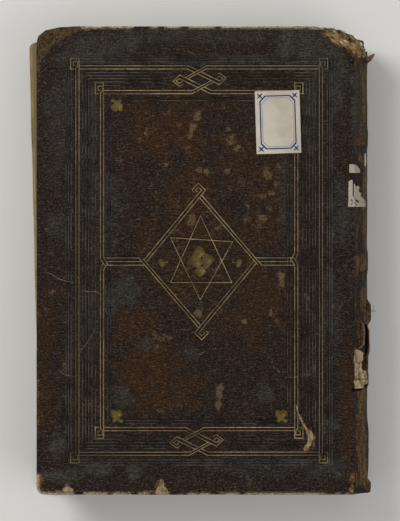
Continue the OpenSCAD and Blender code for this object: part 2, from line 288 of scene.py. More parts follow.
# These work on a node's output, which knows the node tree that it belongs to
def between(value, low, high, bottom=0.0, top=1.0):
    return make(value.id_data, "ShaderNodeMapRange",
                {"Value": value, "From Min": low, "From Max": high, "To Min": bottom, "To Max": top},
                interpolation_type="SMOOTHSTEP").outputs[0]


def combine(kind, a, b):
    return make(a.id_data, "ShaderNodeMath", {0: a, 1: b}, operation=kind).outputs[0]


def times(a, b):
    return combine("MULTIPLY", a, b)


def plus(a, b):
    return combine("ADD", a, b)


def layer(under, above, amount):
    output = next(value for value in (under, amount) if isinstance(value, bpy.types.NodeSocket))
    under, above = (tone(*c) if isinstance(c, tuple) else c for c in (under, above))
    return make(output.id_data, "ShaderNodeMix", {0: amount, 6: under, 7: above},
                data_type="RGBA").outputs[2]


def layered(colour, *rows):
    for above, pattern, *limits in rows:
        colour = layer(colour, above, between(pattern, *limits))
    return colour


def surface(tree, shader, colour, *heights):
    tree.links.new(colour, shader.inputs["Base Color"])
    before = {}
    for height, distance in heights:
        bump = make(tree, "ShaderNodeBump",
                    {"Height": height, "Distance": distance, "Strength": 1.0, **before})
        before = {"Normal": bump.outputs[0]}
    tree.links.new(before["Normal"], shader.inputs["Normal"])


def marks(tree, name):
    node = make(tree, "ShaderNodeVertexColor", layer_name=name)
    parts = make(tree, "ShaderNodeSeparateColor", {0: node.outputs["Color"]})
    return (*parts.outputs, node.outputs["Alpha"])


# The glint tone is a painted highlight on the grain; the dust tone serves as painted highlight on crease
# crests and specks, and for fine light veins
leatherTones = {
    "dark": (10, 6, 3), "base": (35, 24, 17), "purple": (33, 23, 19),
    "grey": (62, 58, 51), "cool": (38, 35, 33), "warm": (54, 31, 8),
    "rust": (46, 25, 11), "scuff": (112, 92, 66), "raw": (98, 73, 38),
    "rawDark": (34, 21, 10), "dustAndGlint": (88, 81, 72), "glint": (80, 72, 63),
    "bone": (172, 158, 132), "ochre": (126, 101, 58),
}


def leatherFinish(name, warmth=1.0, streaked=False):
    material, tree, shader = finish(name, 0.5, 0.08)
    t = leatherTones
    warm, bloom, scuff, worn = marks(tree, "marks")
    toolingShade, _, rim, _ = marks(tree, "wear")
    broad = speckle(tree, 26 * mm, 4)
    patchy = speckle(tree, 7 * mm, 5, rough=0.68)
    fine = speckle(tree, 1.1 * mm, 4, rough=0.7)
    grain = speckle(tree, 0.78 * mm, 2, (0.65, 1.2, 1))
    creases = speckle(tree, 1.05 * mm, 3, (0.28, 1.25, 1), 0.6)
    pores = cells(tree, 1.0 * mm, (1, 1.25, 1))
    streaks = speckle(tree, 1.5 * mm, 4, (1, 0.1, 0.8), 0.66)
    colour = layer(t["base"], t["purple"], between(broad, 0.4, 0.62))
    if streaked:
        colour = layer(colour, t["dark"], 0.5)
    colour = layered(colour, (t["rust"], patchy, 0.5, 0.7, 0, 0.6 * warmth),
                     (t["dark"], patchy, 0.48, 0.28, 0, 0.6))
    warmMix = times(warm, between(patchy, 0.28, 0.6, 0.35, 1))
    colour = layer(colour, t["warm"], warmMix)
    colour = layer(colour, t["cool"], between(bloom, 0.0, 0.4, 0, 0.6))
    bloomMix = times(bloom, between(fine, 0.34, 0.62, 0.2, 1))
    bloomMix = times(bloomMix, between(patchy, 0.38, 0.6, 0.45, 1.35))
    colour = layer(colour, t["grey"], bloomMix)
    if streaked:
        colour = layer(colour, t["raw"], between(streaks, 0.54, 0.7, 0, 0.75))
    # Grain and creases are darkened in the hollows of their bump as painted shade and lightened on its crests
    # as painted highlights
    colour = layered(colour, (t["dark"], grain, 0.5, 0.3, 0, 0.9),
                     (t["dark"], creases, 0.47, 0.34, 0, 0.85), (t["glint"], grain, 0.54, 0.74, 0, 0.8),
                     (t["dustAndGlint"], creases, 0.58, 0.72, 0, 0.6))
    # Scattered light specks: painted highlights on the grain
    glintSpecks = between(speckle(tree, 1.5 * mm, 1, rough=0.4), 0.7, 0.78, 0, 0.5)
    colour = layer(colour, t["dustAndGlint"], glintSpecks)
    veins = speckle(tree, 12 * mm, 3)
    vein = combine("ABSOLUTE", combine("SUBTRACT", veins, 0.5), 0)
    hair = times(between(vein, 0.012, 0.0), between(patchy, 0.5, 0.62))
    colour = layer(colour, t["dustAndGlint"], times(hair, 0.6))
    bite = plus(scuff, between(fine, 0.3, 0.7, -0.36, 0.36))
    bite = times(between(bite, 0.3, 0.9, 0, 0.58), between(scuff, 0, 0.2))
    colour = layer(colour, t["scuff"], bite)
    raw = layer(t["rawDark"], t["raw"], between(streaks if streaked else patchy, 0.38, 0.56))
    raw = layered(raw, (t["rust"], broad, 0.5, 0.6, 0, 0.5), (t["dark"], fine, 0.52, 0.4, 0, 0.9),
                  (t["ochre"], grain, 0.53, 0.7, 0, 0.9))
    rub = plus(worn, between(patchy, 0.3, 0.7, -0.36, 0.36))
    rub = plus(rub, between(fine, 0.3, 0.7, -0.25, 0.25))
    rub = times(between(rub, 0.35, 0.7), between(worn, 0.02, 0.3))
    colour = layer(colour, raw, rub)
    bone = times(rim, between(fine, 0.36, 0.56, 0.1, 1))
    colour = layer(colour, t["bone"], bone)
    # Painted shade darkening the leather beside the gilt and blind tooling lines
    colour = layer(colour, t["dark"], times(toolingShade, 0.85))
    tree.links.new(between(patchy, 0.3, 0.7, 0.42, 0.62), shader.inputs["Roughness"])
    surface(tree, shader, colour, (between(pores, 0.25, 0.75), -0.1 * mm), (creases, 0.34 * mm),
           (grain, 0.18 * mm), (streaks, (0.5 if streaked else 0.02) * mm))
    return material


def goldFinish(name):
    material, tree, shader = finish(name, 0.5, 0.25, 0.1)
    _, bloom, _, _ = marks(tree, "marks")
    _, stamp, _, lost = marks(tree, "wear")
    patchy = speckle(tree, 6 * mm, 5, rough=0.7)
    fine = speckle(tree, 0.9 * mm, 3, rough=0.7)
    broad = speckle(tree, 60 * mm, 2)
    lit = plus(between(patchy, 0.36, 0.66, 0, 0.7), between(broad, 0.4, 0.62, 0, 0.4))
    colour = layer((84, 70, 49), (150, 131, 96), lit)
    olive = layer((66, 53, 20), (96, 78, 34), between(patchy, 0.4, 0.6))
    colour = layer(colour, olive, stamp)
    colour = layer(colour, (58, 44, 24), between(fine, 0.52, 0.72, 0, 0.85))
    gone = plus(between(patchy, 0.5, 0.34, 0, 0.6), bloom)
    gone = times(gone, between(fine, 0.25, 0.65, 0.5, 1))
    colour = layer(colour, (84, 74, 62), gone)
    rubbed = plus(lost, between(patchy, 0.3, 0.7, -0.3, 0.3))
    rubbed = times(between(rubbed, 0.1, 0.9), between(lost, 0, 0.1))
    colour = layer(colour, (58, 46, 39), rubbed)
    tree.links.new(between(fine, 0.3, 0.7, 0.4, 0.6), shader.inputs["Roughness"])
    surface(tree, shader, colour, (fine, 0.05 * mm))
    return material


def blindFinish(name):
    material, tree, shader = finish(name, 0.5, 0.15)
    fine = speckle(tree, 1.0 * mm, 3)
    patchy = speckle(tree, 9 * mm, 4, rough=0.6)
    colour = layer((30, 24, 20), (76, 71, 65), between(patchy, 0.38, 0.62))
    colour = layer(colour, (24, 18, 16), between(fine, 0.52, 0.7, 0, 0.75))
    surface(tree, shader, colour, (fine, 0.05 * mm))
    return material


def suedeFinish(name, pale, deep, bright, turn=90, long=0.45, size=0.8):
    material, tree, shader = finish(name, 0.92, 0.12)
    fibres = speckle(tree, size * mm, 5, (long, 1, 1), 0.7, turn)
    broad = speckle(tree, 3 * mm, 4, (min(1, 1.6 * long), 1, 1), 0.7, turn)
    colour = layer(deep, pale, between(broad, 0.36, 0.58))
    # The fibres are darker in the hollows of their bump and brighter on its crests: painted shade and painted
    # highlights
    colour = layered(colour, (deep, fibres, 0.48, 0.36, 0, 0.95), (bright, fibres, 0.56, 0.7, 0, 0.95))
    surface(tree, shader, colour, (fibres, 0.4 * mm), (broad, 0.4 * mm))
    return material


def paperFinish(name, pale, deep, stain, stainAmount=0.5, darkening=()):
    material, tree, shader = finish(name, 0.88, 0.2)
    broad = speckle(tree, 30 * mm, 4, rough=0.6)
    fine = speckle(tree, 0.9 * mm, 4, rough=0.7)
    spots = speckle(tree, 5 * mm, 3, rough=0.5)
    colour = layer(pale, deep, between(broad, 0.35, 0.68))
    colour = layered(colour, (stain, spots, 0.66, 0.8, 0, stainAmount), (deep, fine, 0.5, 0.75, 0, 0.45))
    # Bands darker across the page; the band at the joint is painted shade in the gutter
    for start, end, dirtAndShade in darkening:
        turned = make(tree, "ShaderNodeSeparateXYZ", {0: place(tree, turn=-blockSkew)})
        reach = plus(turned.outputs[0], between(spots, 0.3, 0.7, -2 * mm, 2 * mm))
        colour = layer(colour, dirtAndShade, between(reach, start, end))
    surface(tree, shader, colour, (fine, 0.05 * mm))
    return material


def pageFinish(name):
    material, tree, shader = finish(name, 0.9, 0.15)
    leaves = speckle(tree, 0.55 * mm, 3, (0.012, 0.012, 1), 0.75)
    bundles = speckle(tree, 3.2 * mm, 3, (0.02, 0.02, 1), 0.6)
    # Grime in broad patches over the page edges
    darkening = speckle(tree, 22 * mm, 5, rough=0.65)
    colour = layer((142, 123, 91), (108, 91, 62), between(darkening, 0.38, 0.66))
    colour = layered(colour, ((78, 60, 38), leaves, 0.52, 0.75, 0, 0.8),
                     ((84, 66, 42), bundles, 0.55, 0.8, 0, 0.6))
    surface(tree, shader, colour, (leaves, 0.18 * mm), (bundles, 0.25 * mm))
    return material


def linenFinish(name, pale, deep, gap):
    material, tree, shader = finish(name, 0.95, 0.1)
    warp, weft = (make(tree, "ShaderNodeTexWave",
                       {"Vector": place(tree), "Scale": 0.55 / mm, "Distortion": 1.4, "Detail": 2.0},
                       bands_direction=axis).outputs["Fac"] for axis in "YZ")
    weave = combine("MAXIMUM", warp, weft)
    broad = speckle(tree, 4 * mm, 4, rough=0.65)
    colour = layer(pale, deep, between(broad, 0.4, 0.68))
    colour = layer(gap, colour, between(weave, 0.15, 0.7, 0.35, 1))
    foldShade, blush, _, _ = marks(tree, "wear")
    colour = layer(colour, (176, 140, 118), times(blush, 0.6))
    # Painted shade from channel 0 of wear: darker in the fold hollows and along the crease
    colour = layer(colour, gap, times(foldShade, 0.6))
    surface(tree, shader, colour, (weave, 0.15 * mm), (broad, 0.3 * mm))
    return material


finishes = {
    "leather": leatherFinish("darkLeather"),
    "backLeather": leatherFinish("backLeather", 0.6),
    "spineLeather": leatherFinish("spineLeather", 1.0, True),
    "gold": goldFinish("wornGold"),
    "blind": blindFinish("blindLine"),
    "suede": suedeFinish("bareSuede", (102, 78, 46), (50, 34, 20), (150, 126, 88)),
    "rubbed": suedeFinish("rubbedLeather", (74, 60, 38), (34, 25, 18), (110, 94, 66), 0, 0.7),
    "scratch": suedeFinish("scratchedLeather", (98, 87, 73), (58, 48, 40), (126, 114, 98)),
    "board": suedeFinish("pasteboard", (138, 114, 75), (26, 16, 8), (236, 216, 174), 32, 0.2, 1.3),
    "goldenCore": suedeFinish("goldenCore", (112, 84, 42), (58, 38, 18), (150, 120, 70)),
    "tornCore": suedeFinish("tornCore", (152, 134, 102), (98, 78, 52), (190, 174, 142)),
    "pages": pageFinish("pageEdges"),
    "endpaper": paperFinish("endpaper", (184, 167, 134), (171, 152, 117), (132, 104, 70), 0.3),
    "label": paperFinish("labelPaper", (188, 181, 167), (168, 159, 141), (134, 116, 88)),
    "scrap": paperFinish("scrapPaper", (166, 158, 142), (146, 137, 118), (118, 102, 76), 0.6),
    "ink": paperFinish("blueInk", (28, 38, 78), (52, 64, 104), (22, 28, 62)),
    "paleInk": paperFinish("paleInk", (112, 118, 140), (140, 142, 150), (96, 104, 130)),
    "linen": linenFinish("liningLinen", (196, 178, 142), (112, 92, 62), (64, 49, 30)),
    "darkLining": linenFinish("darkenedLining", (52, 40, 26), (34, 25, 17), (18, 13, 9)),
    "tornEdge": suedeFinish("tornEdge", (114, 95, 66), (66, 48, 30), (148, 130, 98)),
    "flake": suedeFinish("leatherFlake", (126, 96, 80), (78, 54, 44), (158, 130, 112)),
    # Near-black painted shade for the insides of the wormholes and the gap under the torn lining
    "hollow": suedeFinish("wormhole", (14, 10, 8), (8, 6, 5), (24, 18, 14)),
    "hemp": linenFinish("sewingHemp", (176, 152, 108), (140, 114, 76), (96, 74, 48)),
    "thread": linenFinish("paleThread", (178, 160, 122), (146, 124, 86), (104, 84, 56)),
    "brownThread": linenFinish("brownThread", (98, 66, 44), (74, 50, 34), (46, 32, 22)),
    # The flyleaf is darker in a band near the fore-edge, and in a band by the joint as painted shade in the
    # gutter
    "flyleaf": paperFinish("flyleaf", (182, 165, 132), (170, 151, 116), (132, 104, 70), 0.3,
                           ((jointX - 178 * mm, jointX - 188 * mm, (122, 105, 74)),
                            (jointX - 5 * mm, jointX + mm, (58, 44, 29)))),
    "shadedThread": linenFinish("shadedThread", (74, 58, 36), (52, 38, 24), (30, 22, 14)),
}
print("finishes made:", len(finishes))


# Thin pieces: modelled flat, then bent over what they lie on
def patch(name, outline, cell, thickness, finishName):
    across = [p[0] for p in outline]
    along = [p[1] for p in outline]
    width, length = max(across) - min(across) + cell, max(along) - min(along) + cell
    bpy.ops.mesh.primitive_grid_add(x_subdivisions=max(2, round(width / cell)),
                                    y_subdivisions=max(2, round(length / cell)), size=1,
                                    location=((max(across) + min(across)) / 2,
                                              (max(along) + min(along)) / 2, thickness))
    obj = bpy.context.object
    obj.name = name
    obj.scale = (width, length, 1)
    applyPlace(obj)
    openEdit(obj, everything=True)
    extrudeBy(0, 0, -thickness)
    closeOutward()
    dress(obj, finishName)
    carve(obj, plate("trim", outline, -mm, thickness + mm), "INTERSECT")
    return obj


# Covers
coverLook = {
    "cell": 1.25 * mm,          # spacing of the mesh on the front
    "backCell": 3.2 * mm,
    "edgeRound": 1.3 * mm,      # radius of the leather over the board's edge
    "edgeRings": (0.3 * mm, 0.75 * mm),
    "turnIn": 13 * mm,
    "turnInT": 0.5 * mm,
    "swell": 0.22 * mm,         # slow rise and fall of the old board
    "band": 1.7 * mm,           # upper part of the edge, where the wear shows
    "rubbed": (0.35 * mm, 3 * mm, 9 * mm),      # how deep, how far in, size of the waves
    "wobble": (0.3 * mm, 14 * mm),
    "atWall": 0.05 * mm,
}
# Worn corners as (along, down) from the corner of the outline, in millimetres
wornFore = [(0, -10.2), (1, -6), (5.4, -2.4), (14, -0.6), (24, 0)]
wornJoint = [(-24, 0), (-17.6, -1.2), (-11.6, -1.8), (-1.2, -6.6), (0, -7.6)]
backJoint = [(-14, 0), (-9, -0.8), (-4, -2.6), (0, -5.4)]
footR = 4.8
footTurns = [math.radians(a) for a in (0, 22.5, 45, 67.5, 90)]
roundFoot = [(footR * (1 - math.sin(a)), footR * (1 - math.cos(a))) for a in footTurns]
roundHead = [(footR * (1 - math.cos(a)), -footR * (1 - math.sin(a))) for a in footTurns]


def cornerRun(run, cornerX, cornerY):
    return [(cornerX + x * mm, cornerY + y * mm) for x, y in run]


def coverOutline(worn):
    low, high, rightX = caseLow, caseHigh, caseHigh.x
    outline = cornerRun(wornFore if worn else roundHead, low.x, high.y)
    outline += cornerRun(wornJoint if worn else backJoint, rightX, high.y)
    outline += [(rightX, low.y)]
    outline += cornerRun(roundFoot, low.x, low.y)
    return outline


def sidesOf(outline):
    sides = []
    for i, a in enumerate(outline):
        b = outline[(i + 1) % len(outline)]
        along = Vector((b[0] - a[0], b[1] - a[1]))
        if along.length > 0.01 * mm:
            inward = Vector((along.y, -along.x)).normalized()
            sides.append((Vector(a), inward))
    return sides


def depthInside(places, sides):
    depth = np.full(len(places), 1.0)
    for start, inward in sides:
        if abs(inward.x + 1) < 1e-4 and start.x > jointX - mm:
            continue                # the joint side isn't an edge of the leather
        depth = np.minimum(depth, (places[:, 0] - start.x) * inward.x
                           + (places[:, 1] - start.y) * inward.y)
    return np.maximum(depth, 0)


def swellAt(places):
    slow = noiseField(places * (1, 1, 0), 70 * mm, 1)
    mid = noiseField(places * (1, 1, 0), 18 * mm, 2)
    quick = noiseField(places * (1, 1, 0), 5.5 * mm, 3)
    return coverLook["swell"] * (slow + 0.45 * mid + 0.22 * quick)


def leatherSlab(name, worn, cell, height):
    outline = coverOutline(worn)
    width, length = caseHigh.x - caseLow.x, caseHigh.y - caseLow.y
    bpy.ops.mesh.primitive_grid_add(x_subdivisions=round(width / cell),
                                    y_subdivisions=round(length / cell), size=1,
                                    location=((caseLow.x + caseHigh.x) / 2, 0, height))
    slab = bpy.context.object
    slab.name = name
    slab.scale = (width, length, 1)
    applyPlace(slab)
    openEdit(slab, everything=True)
    sides = sidesOf(outline)
    for start, inward in sides:
        selectAll()
        bpy.ops.mesh.bisect(plane_co=(*start, height), plane_no=(*-inward, 0), clear_outer=True)
    for start, inward in sides:
        for ring in coverLook["edgeRings"]:
            selectAll()
            bpy.ops.mesh.bisect(plane_co=(*(start + inward * ring), height),
                                plane_no=(*-inward, 0))
    selectAll()
    bpy.ops.mesh.remove_doubles(threshold=0.02 * mm)
    bpy.ops.mesh.select_mode(type="EDGE")
    bpy.ops.mesh.select_all(action="DESELECT")
    bpy.ops.mesh.select_non_manifold(extend=False, use_wire=False, use_boundary=True,
                                     use_multi_face=False, use_non_contiguous=False,
                                     use_verts=False)
    for drop in (coverLook["band"], coverT - coverLook["band"]):
        bpy.ops.mesh.extrude_edges_move(TRANSFORM_OT_translate={"value": (0, 0, -drop)})
    bpy.ops.mesh.edge_face_add()
    closeOutward()
    return slab, sides


def openUnderside(slab, height):
    low, near = height - coverT, 0.05 * mm
    deleteParts(slab, "FACE", lambda p: (abs(p.normal.z) > 0.9 and abs(p.center.z - low) < near)
                or (p.normal.x > 0.9 and p.center.x > caseHigh.x - near))
    closeEdit()


def turnInStrip(name, worn, low):
    outline = coverOutline(worn)
    inset, t = coverLook["turnIn"], coverLook["turnInT"]
    strip = plate(name, outline, low, low + t)
    left, right, foot = caseLow.x + inset, jointX + inset, caseLow.y + inset
    head = caseLow.y + (caseHigh.y - caseLow.y) - inset
    carve(strip, plate("window", [(left, foot), (right, foot), (right, head), (left, head)],
                       low - 9 * mm, low + 9 * mm))
    return strip


def lineRing(inset, width, low, high):
    guide = toolingLook
    halfX, halfY = guide["outerX"] - inset, guide["outerY"] - inset
    bpy.ops.mesh.primitive_plane_add(size=1, location=(guide["middleX"], 0, low))
    ring = bpy.context.object
    ring.scale = (2 * halfX + width, 2 * halfY + width, 1)
    applyPlace(ring)
    openEdit(ring, everything=True)
    bpy.ops.mesh.inset(thickness=width)
    bpy.ops.mesh.delete(type="FACE")
    selectAll()
    extrudeBy(0, 0, high - low)
    closeOutward()
    return ring


# The outer gilt frame: the cover's width and length less the margins at the fore-edge, joint and ends
coverW, coverL, foreMargin, jointMargin, endMargin, knotHalf = 191.2, 281.4, 24.6, 20.5, 24.8, 7.4     # mm
toolingLook = {
    "outerX": (coverW - foreMargin - jointMargin) / 2 * mm, "outerY": (coverL / 2 - endMargin) * mm,
    "middleX": jointX + (foreMargin - coverW - jointMargin) / 2 * mm,
    "blindInsets": [-6.8, -5.3, -3.8, 3.2, 5.0, 6.8, 8.7, 10.9, 18.2, 20.0],
    "backInsets": [-4, 0, 1.9, 12.8, 14.7],
    "blindW": 0.5 * mm, "blindDepth": 0.13 * mm, "giltDepth": 0.2 * mm,
    "knotClear": 19 * mm, "knotY": (coverL / 2 - endMargin - knotHalf) * mm,
}


def carveBlindLines(slab, insets, height, keepKnots):
    guide = toolingLook
    low, high = height - guide["blindDepth"], height + mm
    rings = [lineRing(inset * mm, guide["blindW"], low, high) for inset in insets]
    cutter = joined(rings, "blindCutter")
    if keepKnots:
        for side in (1, -1):
            x, y = guide["middleX"], side * guide["knotY"]
            halfX, halfY = guide["knotClear"], knotHalf * mm
            corners = [(x + a * halfX, y + b * halfY) for a, b in ((-1, -1), (1, -1), (1, 1), (-1, 1))]
            carve(cutter, plate("spare", corners, height - 2 * mm, height + 2 * mm))
    dress(cutter, "blind")
    carve(slab, cutter, keepFinish=True)


def carveGilt(slab):
    cutter = copyOf(frame["nodes"]["front_gilding"], "giltCutter")
    places = points(cutter)
    upper = places[:, 2] > places[:, 2].mean()
    places[upper, 2] = topZ + mm
    places[~upper, 2] = topZ - toolingLook["giltDepth"]
    setPoints(cutter, places)
    dress(cutter, "gold")
    carve(slab, cutter, keepFinish=True)


# Scratches cut through the grain: start, end (column, row), width in millimetres
scratches = {
    "longLeft": ((44, 271.5), (76.5, 284), 0.5), "longLeftEnd": ((79, 288.7), (102, 294.4), 0.7),
    "crossLeft": ((79, 355.7), (97, 323.8), 0.45), "lowLeft": ((54.8, 369.7), (76.5, 377.3), 0.5),
    "lowRight": ((281.6, 377.3), (320, 373.5), 0.6), "forkRight": ((272.7, 364.6), (279.7, 374.2), 0.7),
    "frameNick": ((313, 334), (326, 334.6), 0.4), "shortMid": ((196, 354.5), (206, 351.5), 0.6),
    "topNick": ((184, 46), (196, 55), 0.5), "uprightNick": ((316.5, 363), (316, 377), 0.5),
}


# Torn places in plan: outline, depth in millimetres and what shows
tears = {
    "rightTear": ([(295.6, 404.6), (297, 405.6), (299, 412.4), (303, 421), (307.6, 429.2), (312.6, 431.4),
                   (313.6, 438), (310, 446), (305.2, 452), (302.8, 449.4), (306.4, 443), (308, 436),
                   (305.6, 430.4), (301.2, 422.6), (297.4, 413.6)], 0.3, "tornCore"),
    "footTear": ([(153, 500), (156, 489), (159, 485), (160.6, 478.6), (163.4, 479), (164, 485.6), (168, 490),
                  (171, 500)], 0.45, "tornCore"),
    "footNick": ([(62, 491.6), (63, 488.2), (65.5, 486.4), (70, 486.8), (72.4, 489), (73, 491.6)],
                 0.35, "tornCore"),
    "headNick": ([(80, 20), (80.6, 28), (83.6, 29.4), (85.6, 27), (86, 20)], 0.4, "tornCore"),
    "leftCorner": ([(30, 20), (86, 20), (84, 30.4), (74, 33), (66, 38), (57, 41), (51, 47), (47, 55),
                    (41, 60), (39, 74), (30, 74)], 0.22, "rubbed"),
    # The gap is coloured near black as painted shadow below the lining's torn edge
    "liningGap": ([(352.0, 388.6), (356, 388.6), (356, 391.6), (352.2, 391.2)], 0.45, "hollow"),
}
wormholes = [(352.8, 61.6, 0.65), (353.9, 71.6, 0.7), (69.2, 75.6, 0.4)]     # column, row, radius in mm


damageLook = {
    "tearStep": 0.9 * mm, "tearRagged": 0.55 * mm, "floorWave": (0.35, 2.5 * mm),   # share of depth, size
    "holeSides": 12, "holeLength": 4 * mm, "holeRise": 1.5 * mm,
    "bladeHeight": 0.34 * mm, "bladeCuts": 5, "bladeWander": 0.9 * mm, "bladeEnd": 1.02,
}


def carveTears(slab):
    look = damageLook
    waveShare, waveSize = look["floorWave"]
    for name, (run, depth, finishName) in tears.items():
        edge = ragged(photoRun(run), look["tearStep"], look["tearRagged"], 9)
        tear = patch(name, edge, coverLook["cell"], (depth + 1) * mm, finishName)
        places = points(tear)
        floor = places[:, 2] < 0.1 * mm
        places[:, 2] += topZ - depth * mm + floor * waveShare * depth * mm * noiseField(places, waveSize, 16)
        setPoints(tear, places)
        carve(slab, tear, keepFinish=True)
        print(name, "carved:", len(slab.data.polygons))


def carveWormholes(slab):
    look = damageLook
    for column, row, radius in wormholes:
        bpy.ops.mesh.primitive_cylinder_add(vertices=look["holeSides"], radius=radius * mm,
                                            depth=look["holeLength"],
                                            location=(*onPhoto(column, row), topZ + look["holeRise"]))
        hole = bpy.context.object
        applyPlace(hole)
        dress(hole, "hollow")
        carve(slab, hole, keepFinish=True)
        print("wormhole carved:", len(slab.data.polygons))


def scratchBlade(start, end, width):
    look = damageLook
    a, b = Vector(onPhoto(*start)), Vector(onPhoto(*end))
    axis, middle, length = (b - a).normalized(), (a + b) / 2, (b - a).length
    bpy.ops.mesh.primitive_cube_add(size=1, location=(*middle, topZ))
    blade = bpy.context.object
    blade.scale = (length, width * mm, look["bladeHeight"])
    blade.rotation_euler = (0, 0, math.atan2(b.y - a.y, b.x - a.x))
    applyPlace(blade)
    openEdit(blade, everything=True)
    bpy.ops.mesh.subdivide(number_cuts=look["bladeCuts"])
    closeEdit()
    places = points(blade)
    outX, outY = places[:, 0] - middle.x, places[:, 1] - middle.y
    along, across = (outX * axis.x + outY * axis.y) / (length / 2), outY * axis.x - outX * axis.y
    wander = look["bladeWander"] * np.sin(along * 2.6 + width * 9) * (1 - along ** 2)
    shift = across * (look["bladeEnd"] - along ** 4 - 1) + wander
    places[:, 0] -= shift * axis.y
    places[:, 1] += shift * axis.x
    setPoints(blade, places)
    return blade


def carveScratches(slab):
    cutter = joined([scratchBlade(*scratch) for scratch in scratches.values()], "scratchCutter")
    dress(cutter, "scratch")
    carve(slab, cutter, keepFinish=True)
    print("scratches carved:", len(slab.data.polygons))


bareJoint = [(-19, 0), (-16.6, -6), (-14, -9.4), (-7.2, -12.2), (-2.6, -15.2), (0, -17.4)]
bareFoot = [(-4, 0), (-2.8, 5.4), (0, 8.2)]
bareLook = {"past": 4 * mm, "edge": (1.1 * mm, 1.3 * mm, 5)}


def carveBareCorners(slab):
    rightX = caseHigh.x
    for run, y, sign, name in ((bareJoint, headY, 1, "bareHead"), (bareFoot, -headY, -1, "bareTail")):
        line = cornerRun(run, rightX, y)
        far = bareLook["past"]
        beyond = [(rightX + far, line[-1][1]), (rightX + far, y + sign * far), (line[0][0], y + sign * far)]
        outline = ragged([Vector(spot) for spot in line + beyond], *bareLook["edge"])
        carve(slab, plate(name, outline, topZ - coverT - mm, topZ + mm))
        print("corner carved:", len(slab.data.polygons))


# Marks on the leather: column, row, half width, half height, amount and, for some, a turn in radians
warmBlots = [
    (170, 128, 36, 34, .9), (192, 205, 26, 52, .9), (236, 160, 30, 28, .7), (268, 185, 24, 40, .55),
    (150, 372, 28, 42, 1), (140, 330, 24, 20, .9), (168, 392, 34, 18, .8), (222, 318, 30, 18, .6),
    (262, 300, 30, 42, .7), (255, 236, 24, 20, .7), (186, 272, 34, 32, .75), (124, 150, 14, 30, .35),
    (48, 400, 8, 40, .6), (46, 330, 6, 50, .5), (60, 292, 9, 7, .7), (68, 366, 6, 12, .7),
    (90, 404, 14, 7, .7), (150, 240, 12, 24, .7), (343, 130, 12, 26, .25), (348, 415, 8, 60, .6),
    (300, 250, 8, 40, .3), (236, 110, 46, 14, .35), (150, 95, 60, 6, .25), (210, 240, 22, 30, .6),
]
bloomBlots = [
    (133, 473, 9, 9, .95), (55, 447, 8, 13, .95), (66, 476, 16, 7, .85), (98, 470, 14, 7, .9),
    (298, 48, 22, 20, .85), (324, 52, 15, 24, .75), (338, 84, 10, 26, .5), (94, 50, 22, 14, .6),
    (80, 78, 6, 5, .9), (132, 44, 12, 9, .65), (122, 60, 20, 8, .5), (126, 290, 13, 14, .6),
    (110, 300, 7, 14, .5), (265, 395, 10, 8, .55), (121, 397, 9, 10, .5), (330, 425, 8, 8, .8),
    (55, 225, 10, 14, .35), (342, 215, 9, 34, .45), (288, 195, 10, 42, .4), (90, 150, 9, 60, .35),
    (106, 210, 20, 40, .3), (250, 468, 50, 9, .25), (60, 130, 14, 50, .3), (210, 62, 70, 6, .35),
    (330, 133, 6, 6, .6), (310, 100, 9, 50, .4), (248, 480, 2.5, 6, .9), (340, 97, 6, 4, .8, .4),
    (86, 320, 16, 40, .25), (330, 320, 12, 40, .3), (200, 35, 90, 8, .35), (72, 60, 16, 8, .6),
    (360, 96, 8, 44, .85), (359, 215, 6, 30, .2), (330, 470, 20, 10, .45), (150, 345, 10, 8, .3),
    (52, 105, 9, 26, .35), (190, 352, 14, 7, .3),
]
scuffBlots = [
    (197, 115, 4, 6, .75), (193, 127, 3.5, 4, .75), (190, 136, 3, 5, .65), (146, 134, 2.6, 7, .75, .1),
    (142, 140, 4, 3, .5), (229, 130, 3, 2.5, .7), (233, 141, 7, 6, .66), (237, 148, 4.5, 4, .7),
    (204, 161, 2.6, 2.2, .85), (199, 170, 3, 3, .7), (206, 172, 4, 2.6, .8), (167, 165, 2.4, 2.4, .8),
    (228, 171, 2.2, 3, .7), (267, 173, 5, 8, .6), (262, 197, 4, 3.2, .62), (271, 193, 4, 3, .66),
    (263, 218, 6, 4, .7), (268, 208, 4, 3, .6), (258, 226, 4, 3, .55), (246, 221, 2.4, 4, .6),
    (248, 206, 1.8, 1.8, .8), (192, 220, 6, 5, .62, .6), (218, 228, 3, 4, .6, .7),
    (281.5, 279, 3.6, 6, .85), (306.5, 297, 1.8, 7, .7), (306.5, 308, 1.6, 3.4, .8),
    (333, 307, 2.2, 2, .8, .3), (243, 322, 3.6, 3.6, .8), (227, 318, 2, 1.8, .7),
    (270.5, 313, 1.8, 6.5, .7), (162, 337, 11, 4, .52), (156, 347, 6, 3, .45), (197, 313, 4.6, 3.6, .78),
    (219, 396, 3.4, 14, .8, .06), (160, 411, 4, 2, .6), (74, 402, 2, 4, .5), (52, 292.5, 4, 3, .6),
    (65, 366, 3, 7, .5), (68, 207, 4.5, 1.6, .6), (72, 211, 1.5, 3.6, .55), (332, 236, 3, 2.2, .6),
    (60, 145, 3, 3, .45), (67, 488, 4.5, 3, .8), (310, 372, 4, 8, .5, .7), (312, 437, 3, 8, .9, -.25),
    (307, 449, 2.6, 4, .95), (303, 427, 2, 7, .8, .6), (251, 148, 2.4, 2, .5), (179, 125, 3, 2, .45),
    (187, 148, 3, 2.6, .5), (214, 139, 2, 2, .5), (246, 133, 2, 2, .6), (240, 183, 3, 3, .4),
    (278, 166, 3, 3, .6), (276, 185, 3, 4, .6), (250, 262, 2, 2, .4), (172, 322, 4, 2, .45),
    (215, 304, 3, 2, .4), (180, 300, 2, 5, .4, .4), (133, 255, 2, 2, .4), (90, 404, 5, 3, .5),
    (100, 412, 3, 2, .45), (134, 100, 2, 2, .4), (155, 196, 2, 2, .5), (172, 152, 2, 2, .45),
    (157, 172, 2, 2, .45), (196, 196, 2, 1.6, .4), (230, 189, 2, 4, .5),
]
